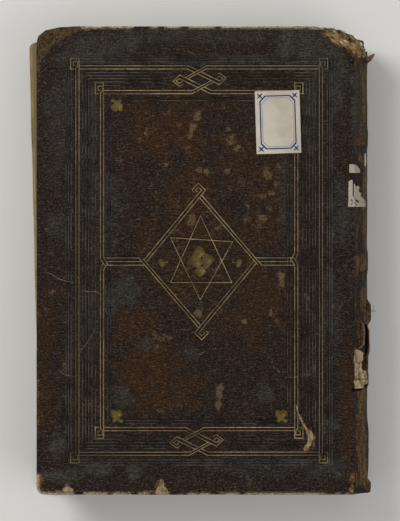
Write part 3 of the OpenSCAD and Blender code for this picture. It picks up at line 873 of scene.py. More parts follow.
wornBlots = [
    (43, 38, 7, 8, 1), (56, 31, 14, 4.5, .9, -.25), (78, 28.5, 12, 2.4, .7), (110, 27, 24, 1.4, .7),
    (230, 26.5, 9, 1.4, .8), (155, 26.3, 12, 1, .6), (326, 33, 5, 4, .7, .3), (337, 44, 7, 3, .6, .6),
    (352, 53, 6, 3, .6, .5), (362, 136, 5, 11, .9), (361.5, 263, 6, 9, 1), (364, 300, 3.5, 16, .9),
    (367, 318, 4, 8, .9), (39, 484, 3, 10, .9), (43, 490, 8, 2.4, .9), (66, 491, 14, 1.6, .9),
    (110, 492.5, 26, 1.3, .8), (160, 486, 6, 6.5, 1), (160, 492, 14, 2, 1), (215, 494, 34, 1.1, .7),
    (300, 494, 40, 1, .6), (355, 480, 6, 10, .5), (366, 484, 6, 9, .75), (361.5, 430, 4.5, 44, .95),
    (363, 400, 4, 18, .9), (37.5, 300, 1.2, 60, .3), (37.5, 410, 1.4, 46, .4), (365, 210, 3, 30, .6),
    (360, 330, 5, 12, .6), (355.5, 300, 1.2, 40, .4), (356, 100, 1.2, 40, .35), (364.5, 96, 2, 34, .75),
    (369.2, 343, 2.4, 17, 1), (365.5, 178, 2.4, 30, .7), (366, 236, 2, 26, .6),
    (357.6, 60, 2.6, 8, .8, .2), (362, 64, 2, 10, .7), (357, 216, 1, 30, .4), (361, 160, 3, 9, .5),
    (363.4, 452, 4.6, 30, 1),
]


def blotField(blots, columns, rows, warp, soft):
    field = np.zeros(len(columns))
    for column, row, halfW, halfH, amount, *turns in blots:
        turn = sum(turns)
        dx, dy = columns - column, rows - row
        u = (dx * math.cos(turn) + dy * math.sin(turn)) / halfW
        v = (dy * math.cos(turn) - dx * math.sin(turn)) / halfH
        reach = np.sqrt(u * u + v * v) + warp
        field = np.maximum(field, amount * easeField(-reach, -1 - soft, -1 + soft))
    return field


def paintMarks(obj):
    places = points(obj)
    columns, rows = seenAt(places)
    slow = noiseField(places, 11 * mm, 11)
    quick = noiseField(places, 3.6 * mm, 12)
    seen = easeField(places[:, 2], midZ - 8 * mm, midZ - mm)[:, None]    # 1 on the side of the photo
    front = np.stack([blotField(warmBlots, columns, rows, 0.75 * slow + 0.25 * quick, 0.5),
                      blotField(bloomBlots, columns, rows, 0.6 * slow + 0.35 * quick, 0.42),
                      blotField(scuffBlots, columns, rows, 0.9 * quick, 0.3),
                      blotField(wornBlots, columns, rows, 0.5 * quick + 0.2 * slow, 0.3)], axis=1)
    back = np.stack([easeField(noiseField(places, 60 * mm, 13) + 0.4 * slow, -0.2, 0.6) * 0.5,
                     easeField(noiseField(places, 45 * mm, 14) + 0.5 * slow, -0.15, 0.75) * 0.4,
                     easeField(quick + 0.5 * slow, 0.62, 0.9) * 0.6, 0 * quick], axis=1)
    values = seen * front + (1 - seen) * back
    paint(obj, "marks", values)


# Gold rubbed off, told in the same way
lostBlots = [
    (77, 440, 8, 22, .75), (80, 395, 8, 18, .4), (101, 392, 8, 30, .75), (95, 434, 9, 6, .5),
    (98, 453, 20, 5, .6), (78, 108, 8, 24, .4), (101, 130, 7, 24, .6), (98, 71, 16, 5, .5),
    (270, 428, 22, 4, .75), (320, 452, 12, 9, .7), (278, 453, 22, 4, .4), (316, 402, 8, 18, .4),
    (78, 330, 7, 16, .3), (246, 453, 8, 4, .5), (136, 428, 10, 4, .5), (282, 70, 10, 5, .4),
]
# Stamps in plan: column, row, radius
stampSpots = [(203, 261, 18), (117, 105, 9), (116, 416, 9), (282, 416, 9), (163, 262, 7), (238, 262, 7)]
# Pale worn edge: left, right, top, bottom, amount, width in millimetres
rimRuns = [(83, 328, 20, 30, 1, 1.5), (52, 82, 20, 34, 0.5, 1.0), (185, 345, 488, 500, 0.9, 1.5),
           (84, 146, 488, 500, 1, 1.6), (30, 84, 476, 500, 1, 1.7), (345, 372, 488, 500, 0.6, 1.4)]


def paintWear(obj, sides, height):
    places = points(obj)
    values = np.zeros((len(places), 4))
    top = places[:, 2] > height - coverLook["band"]
    # Channel 0: painted shade at the tooling lines, full at the gold and 0.55 at the blind lines
    toolingShadeAmounts = {"wornGold": 1.0, "blindLine": 0.55}
    for p in obj.data.polygons:
        amount = toolingShadeAmounts.get(obj.data.materials[p.material_index].name, 0)
        if amount:
            for i in p.vertices:
                values[i, 0] = max(values[i, 0], amount)
    columns, rows = seenAt(places)
    for column, row, radius in stampSpots:
        values[np.hypot(columns - column, rows - row) < radius, 1] = 1
    depth = depthInside(places, sides)
    quick = noiseField(places, 5 * mm, 15)
    for left, right, above, below, amount, width in rimRuns:
        edge = easeField(-depth, -width * mm, -0.5 * width * mm) * top * easeField(quick, -0.4, 0.0)
        edge *= easeField(columns, left - 5, left) * easeField(-columns, -right - 5, -right)
        edge *= easeField(rows, above - 3, above) * (rows < below)
        values[:, 2] = np.maximum(values[:, 2], amount * edge)
    values[:, 3] = blotField(lostBlots, columns, rows, 0.5 * quick, 0.4)
    paint(obj, "wear", values)


def roundEdges(obj, sides, height, worn):
    places = points(obj)
    depth = depthInside(places, sides)
    r = coverLook["edgeRound"]
    near = np.clip(r - depth, 0, r)
    drop = r - np.sqrt(np.maximum(r * r - near * near, 0))
    level = np.clip(1 - np.abs(places[:, 2] - height) / coverT, 0, 1)
    face = np.abs(places[:, 2] - height) < 0.5 * mm
    swell = swellAt(places) * level
    deep, reach, size = coverLook["rubbed"]
    rough = noiseField(places, size, 5)
    places[:, 2] += np.where(face, swell - drop, 0)
    if worn:
        edge = easeField(-depth, -reach, 0)
        places[:, 2] -= deep * edge * np.clip(rough, 0, 1) * face
    sway, size = coverLook["wobble"]
    wobble = np.abs(sway * noiseField(places, size, 6))
    away = places[:, :2] - ((caseLow.x + caseHigh.x) / 2, 0)
    away /= np.maximum(np.linalg.norm(away, axis=1, keepdims=True), 1e-6)
    free = (depth < coverLook["atWall"]) & (places[:, 0] < caseHigh.x - 2 * mm)
    places[:, :2] -= away * np.where(free, wobble, 0)[:, None]
    setPoints(obj, places)


def buildFrontLeather():
    slab, sides = leatherSlab("frontLeather", True, coverLook["cell"], topZ)
    dress(slab, "leather")
    carveBlindLines(slab, toolingLook["blindInsets"], topZ, True)
    print("blind lines carved:", len(slab.data.polygons))
    carveGilt(slab)
    print("gilt lines carved:", len(slab.data.polygons))
    carveTears(slab)
    carveWormholes(slab)
    carveScratches(slab)
    carveBareCorners(slab)
    openUnderside(slab, topZ)
    roundEdges(slab, sides, topZ, True)
    strip = turnInStrip("frontTurnIn", True, topZ - coverT)
    dress(strip, "leather")
    cover = joined([slab, strip], "frontLeather")
    paintMarks(cover)
    paintWear(cover, sides, topZ)
    smooth(cover)
    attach(cover, "front_cover")
    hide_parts("front_leather", "front_gilding")
    return cover


def buildBackLeather():
    slab, sides = leatherSlab("backLeather", False, coverLook["backCell"], topZ)
    dress(slab, "backLeather")
    carveBlindLines(slab, toolingLook["backInsets"], topZ, False)
    openUnderside(slab, topZ)
    roundEdges(slab, sides, topZ, False)
    strip = turnInStrip("backTurnIn", False, topZ - coverT)
    dress(strip, "backLeather")
    cover = joined([slab, strip], "backLeather")
    places = points(cover)
    places[:, 2] = np.maximum(topZ - places[:, 2], 0)       # turned over, flat on the floor
    setPoints(cover, places)
    flipNormals(cover)
    paintMarks(cover)
    smooth(cover)
    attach(cover, "back_cover")
    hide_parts("back_leather")
    return cover


frontLeather = buildFrontLeather()
print("front cover made:", len(frontLeather.data.polygons))
backLeather = buildBackLeather()
print("back cover made:", len(backLeather.data.polygons))


# Spine leather, in a front and a back half that meet at the crown
spineLook = {
    "thickness": 0.85 * mm, "steps": 26, "drop": 1.6 * mm, "shoulderTurn": 38.3,
    "shoulder": [(-0.25, -0.02), (0.1, -0.45), (0.55, -1.5), (1.4, -2.9)],  # mm from joint and face
    "wave": 0.32 * mm, "matchWidth": 3 * mm, "blendStart": -0.3 * mm, "blendEnd": 2.0 * mm,
    "samples": 24, "cuts": 13, "curlReach": 2.2 * mm, "curl": 0.7 * mm,
    "headEdge": (1.0 * mm, 0.8 * mm, 31), "tearEdge": (1.1 * mm, 0.8 * mm, 33),     # step, depth, seed
}
# Swellings of the spine: row, half height, how far out, lowest and highest turn round the spine
spineBulges = [(313, 15, 2.5, -14, 26), (342, 17, 1.5, -14, 14), (361, 15, 2.8, -14, 2),
               (489, 9, 2.2, -20, 30), (452, 36, 0.9, -10, 20), (262, 15, 0.5, -10, 30),
               (137, 13, 0.4, -10, 30), (378, 9, 0.9, -10, 20)]
tornSpine = [(362, 322.8), (364.7, 328.2), (363.7, 344), (358.2, 348.6), (353.4, 348.8), (353.4, 391.4),
             (361, 391.2), (364.4, 388.8), (371, 385.2), (374, 385), (374, 331), (369, 330.6), (366.4, 325)]
wornHead = {
    1: [(352, 50), (354.6, 51.6), (358, 55), (361.4, 54), (364, 56), (367, 53), (376, 53), (376, 20),
        (352, 20)],
    -1: [(352, 34), (358, 39.6), (363, 45), (367, 49), (376, 50), (376, 20), (352, 20)],
}
crown = spineHigh.x - jointX
halfDepth = midZ - spineLook["drop"]
spineR = (halfDepth ** 2 + crown ** 2) / (2 * crown)
axisX = spineHigh.x - spineR


def spineRun():
    places = [(jointX + x * mm, topZ + z * mm) for x, z in spineLook["shoulder"]]
    last = spineLook["samples"] - 1
    for k in range(last + 1):
        turn = math.radians(spineLook["shoulderTurn"]) * (1 - k / last)
        places.append((axisX + spineR * math.cos(turn), midZ + spineR * math.sin(turn)))
    return np.array(places)


spineLine = spineRun()
spineReach = np.concatenate([[0], np.cumsum(np.linalg.norm(np.diff(spineLine, axis=0), axis=1))])


def roundSpine(column):
    x = jointX + (column - photo["jointColumn"]) * photo["pixel"]
    if x < spineLine[0, 0]:
        return x - spineLine[0, 0]
    return float(np.interp(x, spineLine[:, 0], spineReach))


def spineShift(places):
    _, rows = seenAt(places)
    turn = np.degrees(np.arctan2(places[:, 2] - midZ, places[:, 0] - axisX))
    shift = spineLook["wave"] * noiseField(places * (0, 1, 0.6), 17 * mm, 21)
    shift += 0.3 * spineLook["wave"] * noiseField(places, 4.5 * mm, 22)
    for row, half, out, lowTurn, highTurn in spineBulges:
        lobe = easeField(-np.abs(rows - row), -half, -0.45 * half)
        lobe *= easeField(turn, lowTurn, lowTurn + 14) * easeField(-turn, -highTurn, -highTurn + 14)
        shift += out * mm * lobe
    return shift


def settleOnSpine(places):
    out = easeField(places[:, 0] - jointX, 0, spineLook["matchWidth"])
    front = places[:, 2] > midZ
    shift = spineShift(places) * out
    arm = places[:, [0, 2]] - (axisX, midZ)
    arm /= np.linalg.norm(arm, axis=1, keepdims=True)
    moved = places.copy()
    moved[:, 0] += shift * arm[:, 0]
    moved[:, 2] += shift * arm[:, 1] + np.where(front, swellAt(places) * (1 - out), 0)
    return moved


def alongSpine(reach):
    return np.stack([np.interp(reach, spineReach, spineLine[:, k]) for k in (0, 1)], axis=1)


# Bends a flat piece: its x is the way round the spine from the joint, its z the height over the leather
def bendOverSpine(obj, lift):
    places = points(obj)
    reach, height, step = places[:, 0], places[:, 2] + lift, 0.4 * mm
    x, z = alongSpine(reach).T
    x = x + np.minimum(reach, 0)
    tangent = alongSpine(reach + step) - alongSpine(reach - step)
    tangent[reach < 0] = (1, 0)
    tangent /= np.maximum(np.linalg.norm(tangent, axis=1, keepdims=True), 1e-9)
    bent = settleOnSpine(np.stack([x, places[:, 1], z], axis=1))
    bent[:, 0] -= height * tangent[:, 1]
    bent[:, 2] += height * tangent[:, 0]
    setPoints(obj, bent)


def spineHalf(name, sign):
    look = spineLook
    length = spineHigh.y - spineLow.y
    bpy.ops.mesh.primitive_plane_add(size=length, location=(spineHigh.x + length / 2, 0, midZ))
    half = bpy.context.object
    half.name = name
    applyPlace(half)
    deleteParts(half, "VERT", lambda vertex: vertex.co.x > spineHigh.x + mm)
    bpy.ops.mesh.select_mode(type="EDGE")
    selectAll()
    for _ in range(2):
        bpy.ops.mesh.subdivide(number_cuts=look["cuts"])
    selectAll()
    bpy.ops.mesh.spin(steps=look["steps"], angle=sign * math.radians(look["shoulderTurn"]),
                      center=(axisX, 0, midZ), axis=(0, 1, 0))
    before = spineLine[len(look["shoulder"])]
    for x, z in spineLine[:len(look["shoulder"])][::-1]:
        step = (x - before[0], 0, sign * (z - before[1]))
        bpy.ops.mesh.extrude_edges_move(TRANSFORM_OT_translate={"value": step})
        before = (x, z)
    closeEdit()
    if sum(p.normal.x for p in half.data.polygons) < 0:
        flipNormals(half)
    thick = half.modifiers.new("thick", "SOLIDIFY")
    thick.thickness = look["thickness"]
    thick.offset = -1
    applyModifiers(half)
    dress(half, "spineLeather")
    return half


def curlTornEdge(obj, step=0.8 * mm):
    edge = np.array([tuple(spot) for spot in ragged(photoRun(tornSpine), step, 0, 1)])
    places = points(obj)
    near = np.min(np.hypot(places[:, None, 0] - edge[None, :, 0],
                           places[:, None, 1] - edge[None, :, 1]), axis=1)
    lift = spineLook["curl"] * easeField(-near, -spineLook["curlReach"], 0) * (places[:, 2] > midZ)
    places[:, 0] += 0.7 * lift      # out and up alike
    places[:, 2] += 0.7 * lift
    setPoints(obj, places)


def buildSpine():
    past, overlap = 9 * mm, 0.3 * mm        # how far a cutter reaches past the spine and the crown
    for name, sign, body in (("frontSpineLeather", 1, "front_cover"), ("backSpineLeather", -1, "back_cover")):
        half = spineHalf(name, sign)
        low, high = (midZ - overlap, topZ + past) if sign > 0 else (-past, midZ + overlap)
        head = plate("wornHeadCutter", ragged(photoRun(wornHead[sign]), *spineLook["headEdge"]), low, high)
        dress(head, "suede" if sign > 0 else "spineLeather")
        carve(half, head, keepFinish=True)
        if sign > 0:
            tear = plate("tornSpineCutter", ragged(photoRun(tornSpine), *spineLook["tearEdge"]),
                         midZ + 1.5 * mm, topZ + past)
            dress(tear, "suede")
            carve(half, tear, keepFinish=True)
        setPoints(half, settleOnSpine(points(half)))
        if sign > 0:
            curlTornEdge(half)
        paintMarks(half)
        smooth(half, 50)
        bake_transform(half)
        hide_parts("spine_leather")
        print(name, "made:", len(half.data.polygons))


buildSpine()

# Leaves of the text block
blockLook = {
    "width": 192.9 * mm, "head": 135.9 * mm, "foot": -130.3 * mm, "headFall": 6 * mm, "cornerR": 3.6 * mm,
    "leaves": 88, "step": 5.5 * mm, "hollow": 4 * mm, "bend": 20 * mm, "foreReach": 12 * mm,
    "brim": 0.8, "stepBack": 1.9 * mm, "pullIn": 0.15 * mm, "backShare": 0.97, "backIn": 0.1 * mm,
    "jitter": 0.16 * mm, "cockle": 0.34 * mm, "cockleSize": 0.03, "cockleRise": 0.31,
    "gathering": 7, "grooveDeep": 0.22 * mm,
}
leatherT, liningT, glueT = 1.0 * mm, 0.6 * mm, 0.2 * mm
innerR = spineR - leatherT - liningT - glueT         # round of the block's back


def blockOutline():
    look = blockLook
    w, r, head, foot = look["width"], look["cornerR"], look["head"], look["foot"]
    run = []
    for k in range(round(w / look["step"])):
        run.append((-k * look["step"], head - look["headFall"] * (1 - k * look["step"] / w)))
    run = [p for p in run if p[0] > r - w]
    run += [(r - w + r * math.cos(a), head - r + r * math.sin(a))
            for a in (math.radians(90 + 15 * k) for k in range(7))]
    rows = round((head - foot - 2 * r) / look["step"])
    run += [(-w, head - r - k * (head - foot - 2 * r) / rows) for k in range(1, rows)]
    run += [(r - w + r * math.cos(a), foot + r + r * math.sin(a))
            for a in (math.radians(180 + 15 * k) for k in range(7))]
    run += [(p[0], foot) for p in reversed(run[:round((w - r) / look["step"])])]
    rows = round((head - foot) / look["step"])
    run += [(0, foot + k * (head - look["headFall"] - foot) / rows) for k in range(1, rows)]
    return run


def buildBlock():
    look = blockLook
    outline = blockOutline()
    bpy.ops.mesh.primitive_circle_add(vertices=len(outline), radius=mm, fill_type="NGON")
    block = bpy.context.object
    block.name = "pageBlock"
    for vertex, spot in zip(block.data.vertices, outline):
        vertex.co = (spot[0], spot[1], blockLow.z)
    thickness = blockHigh.z - blockLow.z
    openEdit(block, everything=True)
    for _ in range(look["leaves"]):
        extrudeBy(0, 0, thickness / look["leaves"])
    closeOutward()
    places = points(block)
    u, v, z = places.T.copy()
    leaf = np.round((z - blockLow.z) / thickness * look["leaves"]).astype(int)
    w, r = look["width"], look["foreReach"]
    rise = (z - midZ) / (thickness / 2)
    outU = np.clip(u, r - w, 0) - u
    headHere = look["head"] - look["headFall"] * (1 + u / w)
    outV = v - np.clip(v, look["foot"] + look["cornerR"], headHere - look["cornerR"])
    length = np.maximum(np.hypot(outU, outV), 1e-9)
    rng = np.random.default_rng(5)
    perLeaf = rng.normal(0, look["jitter"], look["leaves"] + 1)
    perLeaf -= look["grooveDeep"] * (np.arange(look["leaves"] + 1) % look["gathering"] == 3)
    size, climb = look["cockleSize"], look["cockleRise"]
    wander = np.array([noise.noise(Vector((a / size, b / size, c * climb))) for a, b, c in zip(u, v, leaf)])
    push = perLeaf[leaf] + look["cockle"] * wander - look["pullIn"]
    roundX = axisX - jointX + np.sqrt(innerR ** 2 - (z - midZ) ** 2)
    bend = np.clip((u + look["bend"]) / look["bend"], 0, 1)
    free = 1 - bend
    u = u - push * outU / length * free
    v = v + push * outV / length
    recess = look["hollow"] * np.clip(1 - (rise / look["brim"]) ** 2, 0, 1)
    recess += look["stepBack"] * np.clip((rise - look["brim"]) / (1 - look["brim"]), 0, 1)
    u = u + recess * np.clip(1 - (u + w) / r, 0, 1)
    u = np.where(bend > 0, -look["bend"] + bend * (look["bend"] + roundX), u)
    u, v = turned(u, v, blockSkew)
    places[:, 0], places[:, 1] = jointX + u, v
    back = bend > look["backShare"]
    places[back, 0] = jointX + roundX[back] - look["backIn"]
    setPoints(block, places)
    dress(block, "pages", "flyleaf", "darkLining")
    for p in block.data.polygons:
        flat = abs(p.normal.z) > 0.9 and p.area > 1e-3
        # Faces on the block's back past the joint take the dark lining finish
        p.material_index = 1 if flat else 2 if p.center.x > jointX - mm else 0
    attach(block, "text_block")
    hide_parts("text_block")
    print("leaves made:", len(block.data.polygons))


buildBlock()

# Endbands: a core wound with two colours of thread
bandLook = {"radius": 1.45 * mm, "coreR": innerR - 1.6 * mm, "turn": 33, "steps": 168,
            "perThread": 4, "stripe": 3, "ridge": 0.09}


def buildEndband(name, node, *threadNames):
    look = bandLook
    low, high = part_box(node)
    bpy.ops.mesh.primitive_circle_add(vertices=12, radius=look["radius"], fill_type="NGON",
                                      location=(axisX + look["coreR"], (low.y + high.y) / 2, midZ))
    band = bpy.context.object
    band.name = name
    applyPlace(band)
    openEdit(band, everything=True)
    bpy.ops.mesh.spin(steps=look["steps"], angle=math.radians(2 * look["turn"]),
                      center=(axisX, 0, midZ), axis=(0, 1, 0))
    closeOutward(weld=True)
    places = points(band)
    arm = places[:, [0, 2]] - (axisX, midZ)
    turn = np.arctan2(arm[:, 1], arm[:, 0])
    reach = np.linalg.norm(arm, axis=1)
    ring = np.round(np.abs(turn) / math.radians(2 * look["turn"]) * look["steps"])
    middleY = (low.y + high.y) / 2
    ridge = 1 + look["ridge"] * np.cos(2 * math.pi * ring / look["perThread"])
    reach = look["coreR"] + (reach - look["coreR"]) * ridge
    places[:, 1] = middleY + (places[:, 1] - middleY) * ridge
    flip = -1 if turn.mean() > 0 else 1
    turn = turn + flip * math.radians(look["turn"])
    places[:, 0] = axisX + reach * np.cos(turn)
    places[:, 2] = midZ + reach * np.sin(turn)
    setPoints(band, places)
    dress(band, *threadNames)
    for p in band.data.polygons:
        turn = math.degrees(math.atan2(p.center.z - midZ, p.center.x - axisX)) + look["turn"]
        thread = int(turn / (2 * look["turn"]) * look["steps"] / look["perThread"])
        p.material_index = (thread // look["stripe"]) % 2
    smooth(band, 60)
    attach(band, "text_block")
    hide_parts(node)


# The headband's threads are coloured dark as painted shade at the worn head of the spine
buildEndband("headbandThreads", "headband", "shadedThread", "darkLining")
buildEndband("tailbandThreads", "tailband", "thread", "brownThread")
print("endbands made")

# Shelf label, left bare, with its printed border
labelLook = {"width": 26.8 * mm, "height": 37.6 * mm, "turn": 1.8, "in": 46.2 * mm, "down": 57.7 * mm,
             "thickness": 0.16 * mm, "borderIn": 2.6 * mm, "borderW": 0.75 * mm, "cut": 3.2 * mm,
             "lift": 0.06 * mm, "petal": (5.0 * mm, 0.5 * mm), "petalIn": 0.3 * mm,
             "innerRule": (1.35 * mm, 0.35 * mm), "curl": 0.35 * mm}


def petal(x, y, turn, low, high):
    length, half = labelLook["petal"]
    run = [(length * t, half * math.sin(math.pi * t) ** 0.8) for t in (0.02, 0.2, 0.4, 0.6, 0.8, 0.98)]
    run += [(a, -b) for a, b in reversed(run)]
    c, s = math.cos(turn), math.sin(turn)
    outline = [(x + (a - length / 2) * c - b * s, y + (a - length / 2) * s + b * c) for a, b in run]
    return plate("petal", outline, low, high)


def octagonRing(halfX, halfY, cut, width, low, high):
    corners = [(halfX, halfY - cut), (halfX - cut, halfY), (cut - halfX, halfY), (-halfX, halfY - cut),
               (-halfX, cut - halfY), (cut - halfX, -halfY), (halfX - cut, -halfY), (halfX, cut - halfY)]
    ring = plate("border", corners, low, high)
    shrink = (halfX - width) / halfX, (halfY - width) / halfY
    hole = plate("borderHole", [(x * shrink[0], y * shrink[1]) for x, y in corners], low - mm, high + mm)
    carve(ring, hole)
    return ring


def buildLabel():
    look = labelLook
    x, y, t = look["width"] / 2, look["height"] / 2, look["thickness"]
    edge = ragged([(-x, -y), (x, -y), (x, y), (-x, y)], 1.6 * mm, 0.07 * mm, 41)
    label = patch("shelfLabel", edge, 1.1 * mm, t, "label")
    halfX, halfY = x - look["borderIn"], y - look["borderIn"]
    rule, ruleW = look["innerRule"]
    for inset, width, colour in ((0, look["borderW"], "ink"), (rule, ruleW, "paleInk")):
        ring = octagonRing(halfX - inset, halfY - inset, look["cut"], width, t - 0.04 * mm, t + mm)
        dress(ring, colour)
        carve(label, ring, keepFinish=True)
    petalX, petalY = halfX - look["petalIn"], halfY - look["petalIn"]
    for sx, sy in ((-1, -1), (-1, 1), (1, -1), (1, 1)):
        for turn in (45, 135):
            flower = petal(sx * petalX, sy * petalY, math.radians(turn), t - 0.035 * mm, t + mm)
            dress(flower, "ink")
            carve(label, flower, keepFinish=True)
    places = points(label)
    curl = (np.abs(places[:, 0]) / x) ** 6 * (np.abs(places[:, 1]) / y) ** 6
    a, b = turned(places[:, 0], places[:, 1], look["turn"])
    places[:, 0], places[:, 1] = jointX - look["in"] + a, headY - look["down"] + b
    places[:, 2] += topZ + look["lift"] + swellAt(places) + look["curl"] * curl
    places[:, 2] += 0.05 * mm * noiseField(places, 6 * mm, 42)
    setPoints(label, places)
    smooth(label, 30)
    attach(label, "front_cover")
    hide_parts("shelf_label", "shelf_label_border")
    print("label made:", len(label.data.polygons))


buildLabel()

# Scraps of older labels over the joint, and torn lining in the split, as seen in plan
scrapRuns = {
    "scrapTop": [(349.4, 164.4), (353, 164.2), (357.6, 165.8), (360, 169), (360.4, 172.6), (355, 173),
                 (349.2, 172.6)],
    "scrapMid": [(348.6, 181.4), (351.6, 179.8), (353.4, 182), (355.4, 187), (358, 185.4), (359.6, 187),
                 (358.6, 191), (361.4, 193.4), (360.6, 196), (364.6, 199.4), (366, 201), (366, 206.6),
                 (348.3, 206.8)],
}
inkRuns = [[(352.6, 181.6), (354.0, 182), (354.0, 196.4), (352.6, 196.4)],
           [(352.6, 197), (354.2, 196.6), (356.2, 199.4), (358.4, 200.6), (365, 201.4), (365, 202.8),
            (357.8, 202.4), (355.2, 201)],
           [(350.4, 199.8), (351.3, 199), (353.2, 201.2), (352.3, 202)],
           [(353.6, 202.6), (354.6, 202), (356.8, 204.8), (355.8, 205.4)],
           [(350.6, 204.4), (351.4, 205), (353.2, 203.2), (352.4, 202.5)]]
liningRun = [(353.6, 350.6), (357, 348.4), (360.4, 350.6), (362.6, 353.6), (362.8, 360), (361.6, 366),
             (362.6, 374), (363.6, 381), (362.6, 388.4), (353.2, 388.8), (353.6, 380), (353.2, 368),
             (354, 359)]
flapRun = [(362.6, 372), (365, 371), (366.6, 374), (366.5, 383), (364.4, 386), (362.4, 384)]
spineScrapRun = [(365.3, 153), (366.6, 152.4), (366.9, 160), (366.4, 166), (365.2, 165)]


def overSpine(run):
    return [Vector((roundSpine(column), (photo["middleRow"] - row) * photo["pixel"])) for column, row in run]


scrapLook = {"edge": (0.7 * mm, 0.16 * mm), "cell": 0.55 * mm, "thickness": 0.16 * mm,
             "edgeCell": 0.5 * mm, "edgeThickness": 0.18 * mm, "inkFloor": 0.12 * mm, "lift": 0.08 * mm}


def blendOverJoint(piece):
    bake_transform(piece)


# A thin piece with a ragged outline; edge is the step and the depth of its raggedness
def tornPatch(name, run, edge, seed, cell, thickness, finishName):
    return patch(name, ragged(run, *edge, seed), cell, thickness, finishName)


# Joins thin pieces and lays them over the spine
def overJoint(pieces, name, lift, angle):
    piece = joined(pieces, name)
    bendOverSpine(piece, lift)
    smooth(piece, angle)
    blendOverJoint(piece)
    return piece


def buildScraps():
    look = scrapLook
    scraps = [tornPatch(name, overSpine(run), look["edge"], 51, look["cell"], look["thickness"], "scrap")
              for name, run in scrapRuns.items()]
    for ink in inkRuns:
        line = plate("inkLine", overSpine(ink), look["inkFloor"], mm)
        dress(line, "ink")
        carve(scraps[1], line, keepFinish=True)
    scraps.append(tornPatch("scrapEdge", overSpine(spineScrapRun), look["edge"], 52, look["edgeCell"],
                            look["edgeThickness"], "label"))
    paper = overJoint(scraps, "labelScraps", look["lift"], 40)
    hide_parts("spine_label_scraps", "joint_label_scraps")


liningLook = {"edge": (0.8 * mm, 0.4 * mm), "cell": 0.5 * mm, "thickness": 0.4 * mm, "lift": 0.1 * mm,
              "crease": 379.6, "blush": (-368, -356)}      # rows of the crease and of the reddish upper part


def buildLiningScraps():
    look = liningLook
    made = []
    for name, run, seed, lower in (("tornLining", liningRun, 53, 0.5), ("liningFlap", flapRun, 55, 0.3)):
        piece = tornPatch(name, overSpine(run), look["edge"], seed, look["cell"], look["thickness"], "linen")
        places = points(piece)
        _, rows = seenAt(places)
        folds = noiseField(places * (1, 0.3, 0), 2.0 * mm, seed)
        folds = folds + 0.5 * noiseField(places * (1, 1, 0), 1.6 * mm, 54)
        crease = easeField(-np.abs(rows - look["crease"] - 0.4 * folds), -1.4, 0)
        rim = easeField(places[:, 0], places[:, 0].max() - 2.4 * mm, places[:, 0].max() - 1.0 * mm)
        rim *= name == "tornLining"
        places[:, 2] += (1.1 * folds - lower - 0.8 * crease + 1.1 * rim) * mm
        if name == "liningFlap":
            places[:, 2] += 0.18 * (places[:, 0] - places[:, 0].min())
        setPoints(piece, places)
        values = np.zeros((len(places), 4))
        # Channel 0 is painted shade in the hollows of the folds and along the crease; the whole flap is
        # darkened too
        values[:, 0] = np.maximum(easeField(-folds, 0.0, 0.35) * (1 - rim), crease)
        values[:, 0] = np.maximum(values[:, 0], 0.45 * (name == "liningFlap"))
        values[:, 1] = easeField(-rows, *look["blush"]) * (1 - rim)
        paint(piece, "wear", values)
        made.append(piece)
    torn = overJoint(made, "tornLining", look["lift"], 50)
    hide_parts("lining_scrap")


# Bare fibres where the spine leather has gone at the head, a loose flake and a frayed thread
headFibreRun = [(350.6, 34.4), (354, 35.8), (359.4, 39), (364.2, 42.4), (366.9, 46), (367, 54), (363.6, 57),
                (358, 57.4), (353, 54), (350.6, 52.6)]
flakeRun = [(0, -0.9), (1.4, -1.5), (3.2, -1.3), (5.2, -0.5), (6.4, 0.4), (5.8, 1.0), (4, 1.1), (2.2, 1.5),
            (0.6, 1.3), (-0.4, 0.4)]
fleckRun = [(359.6, 42), (361.6, 41.4), (363, 43.6), (361.4, 45.6)]
# Sheets of fibre one over the other: the upper ones start further back, above the fold's row
fibreLook = {"lifts": (-1.3, -0.85, -0.4), "setBack": (0.9, 1.6), "foldRow": 50, "edge": (0.8 * mm, 0.7 * mm),
             "cell": 0.7 * mm, "thickness": 0.35 * mm, "wave": 0.45 * mm, "waveSize": 2.6 * mm}
flakeLook = {"at": (366.3, 60.5), "back": 0.8 * mm, "size": 1.3, "height": 26 * mm, "turn": 32,
             "curl": 0.9 * mm, "length": 6 * mm, "hollow": 0.5 * mm, "halfWidth": 1.4 * mm}
threadLook = {"at": (378, 311.6), "height": 25 * mm, "radius": 0.4 * mm, "bend": 1.7 * mm, "tail": 3.6 * mm,
              "sides": 7, "steps": 12, "turn": 150, "slope": 0.25}


def buildHeadFibres():
    look = fibreLook
    sheets = []
    backX, backY = look["setBack"]
    for k, lift in enumerate(look["lifts"]):
        run = [(column - backX * k, row + backY * k) if row < look["foldRow"] else (column, row)
               for column, row in headFibreRun]
        sheet = tornPatch("fibreSheet", overSpine(run), look["edge"], 81 + k, look["cell"], look["thickness"],
                          "board")
        places = points(sheet)
        places[:, 2] += lift * mm + look["wave"] * noiseField(places * (1, 1, 0), look["waveSize"], 83 + k)
        setPoints(sheet, places)
        sheets.append(sheet)
    sheets.append(tornPatch("fleck", overSpine(fleckRun), (0.5 * mm, 0.2 * mm), 88, 0.5 * mm, 0.3 * mm,
                            "label"))
    fibres = overJoint(sheets, "spineHeadFibres", 0, 40)


def buildFlake():
    look = flakeLook
    run = [Vector(spot) * look["size"] * mm for spot in flakeRun]
    flake = tornPatch("leatherFlake", run, (0.6 * mm, 0.2 * mm), 85, 0.5 * mm, 0.5 * mm, "flake")
    places = points(flake)
    along = np.clip(places[:, 0] / look["length"], 0, 1)
    places[:, 2] += look["curl"] * np.sin(along * 3)
    places[:, 2] += look["hollow"] * (places[:, 1] / look["halfWidth"]) ** 2
    x, y = onPhoto(*look["at"])
    a, b = turned(places[:, 0], places[:, 1], look["turn"])
    places[:, 0], places[:, 1] = x - look["back"] + a, y + b
    places[:, 2] += look["height"]
    setPoints(flake, places)
    smooth(flake, 50)
    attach(flake, "text_block")


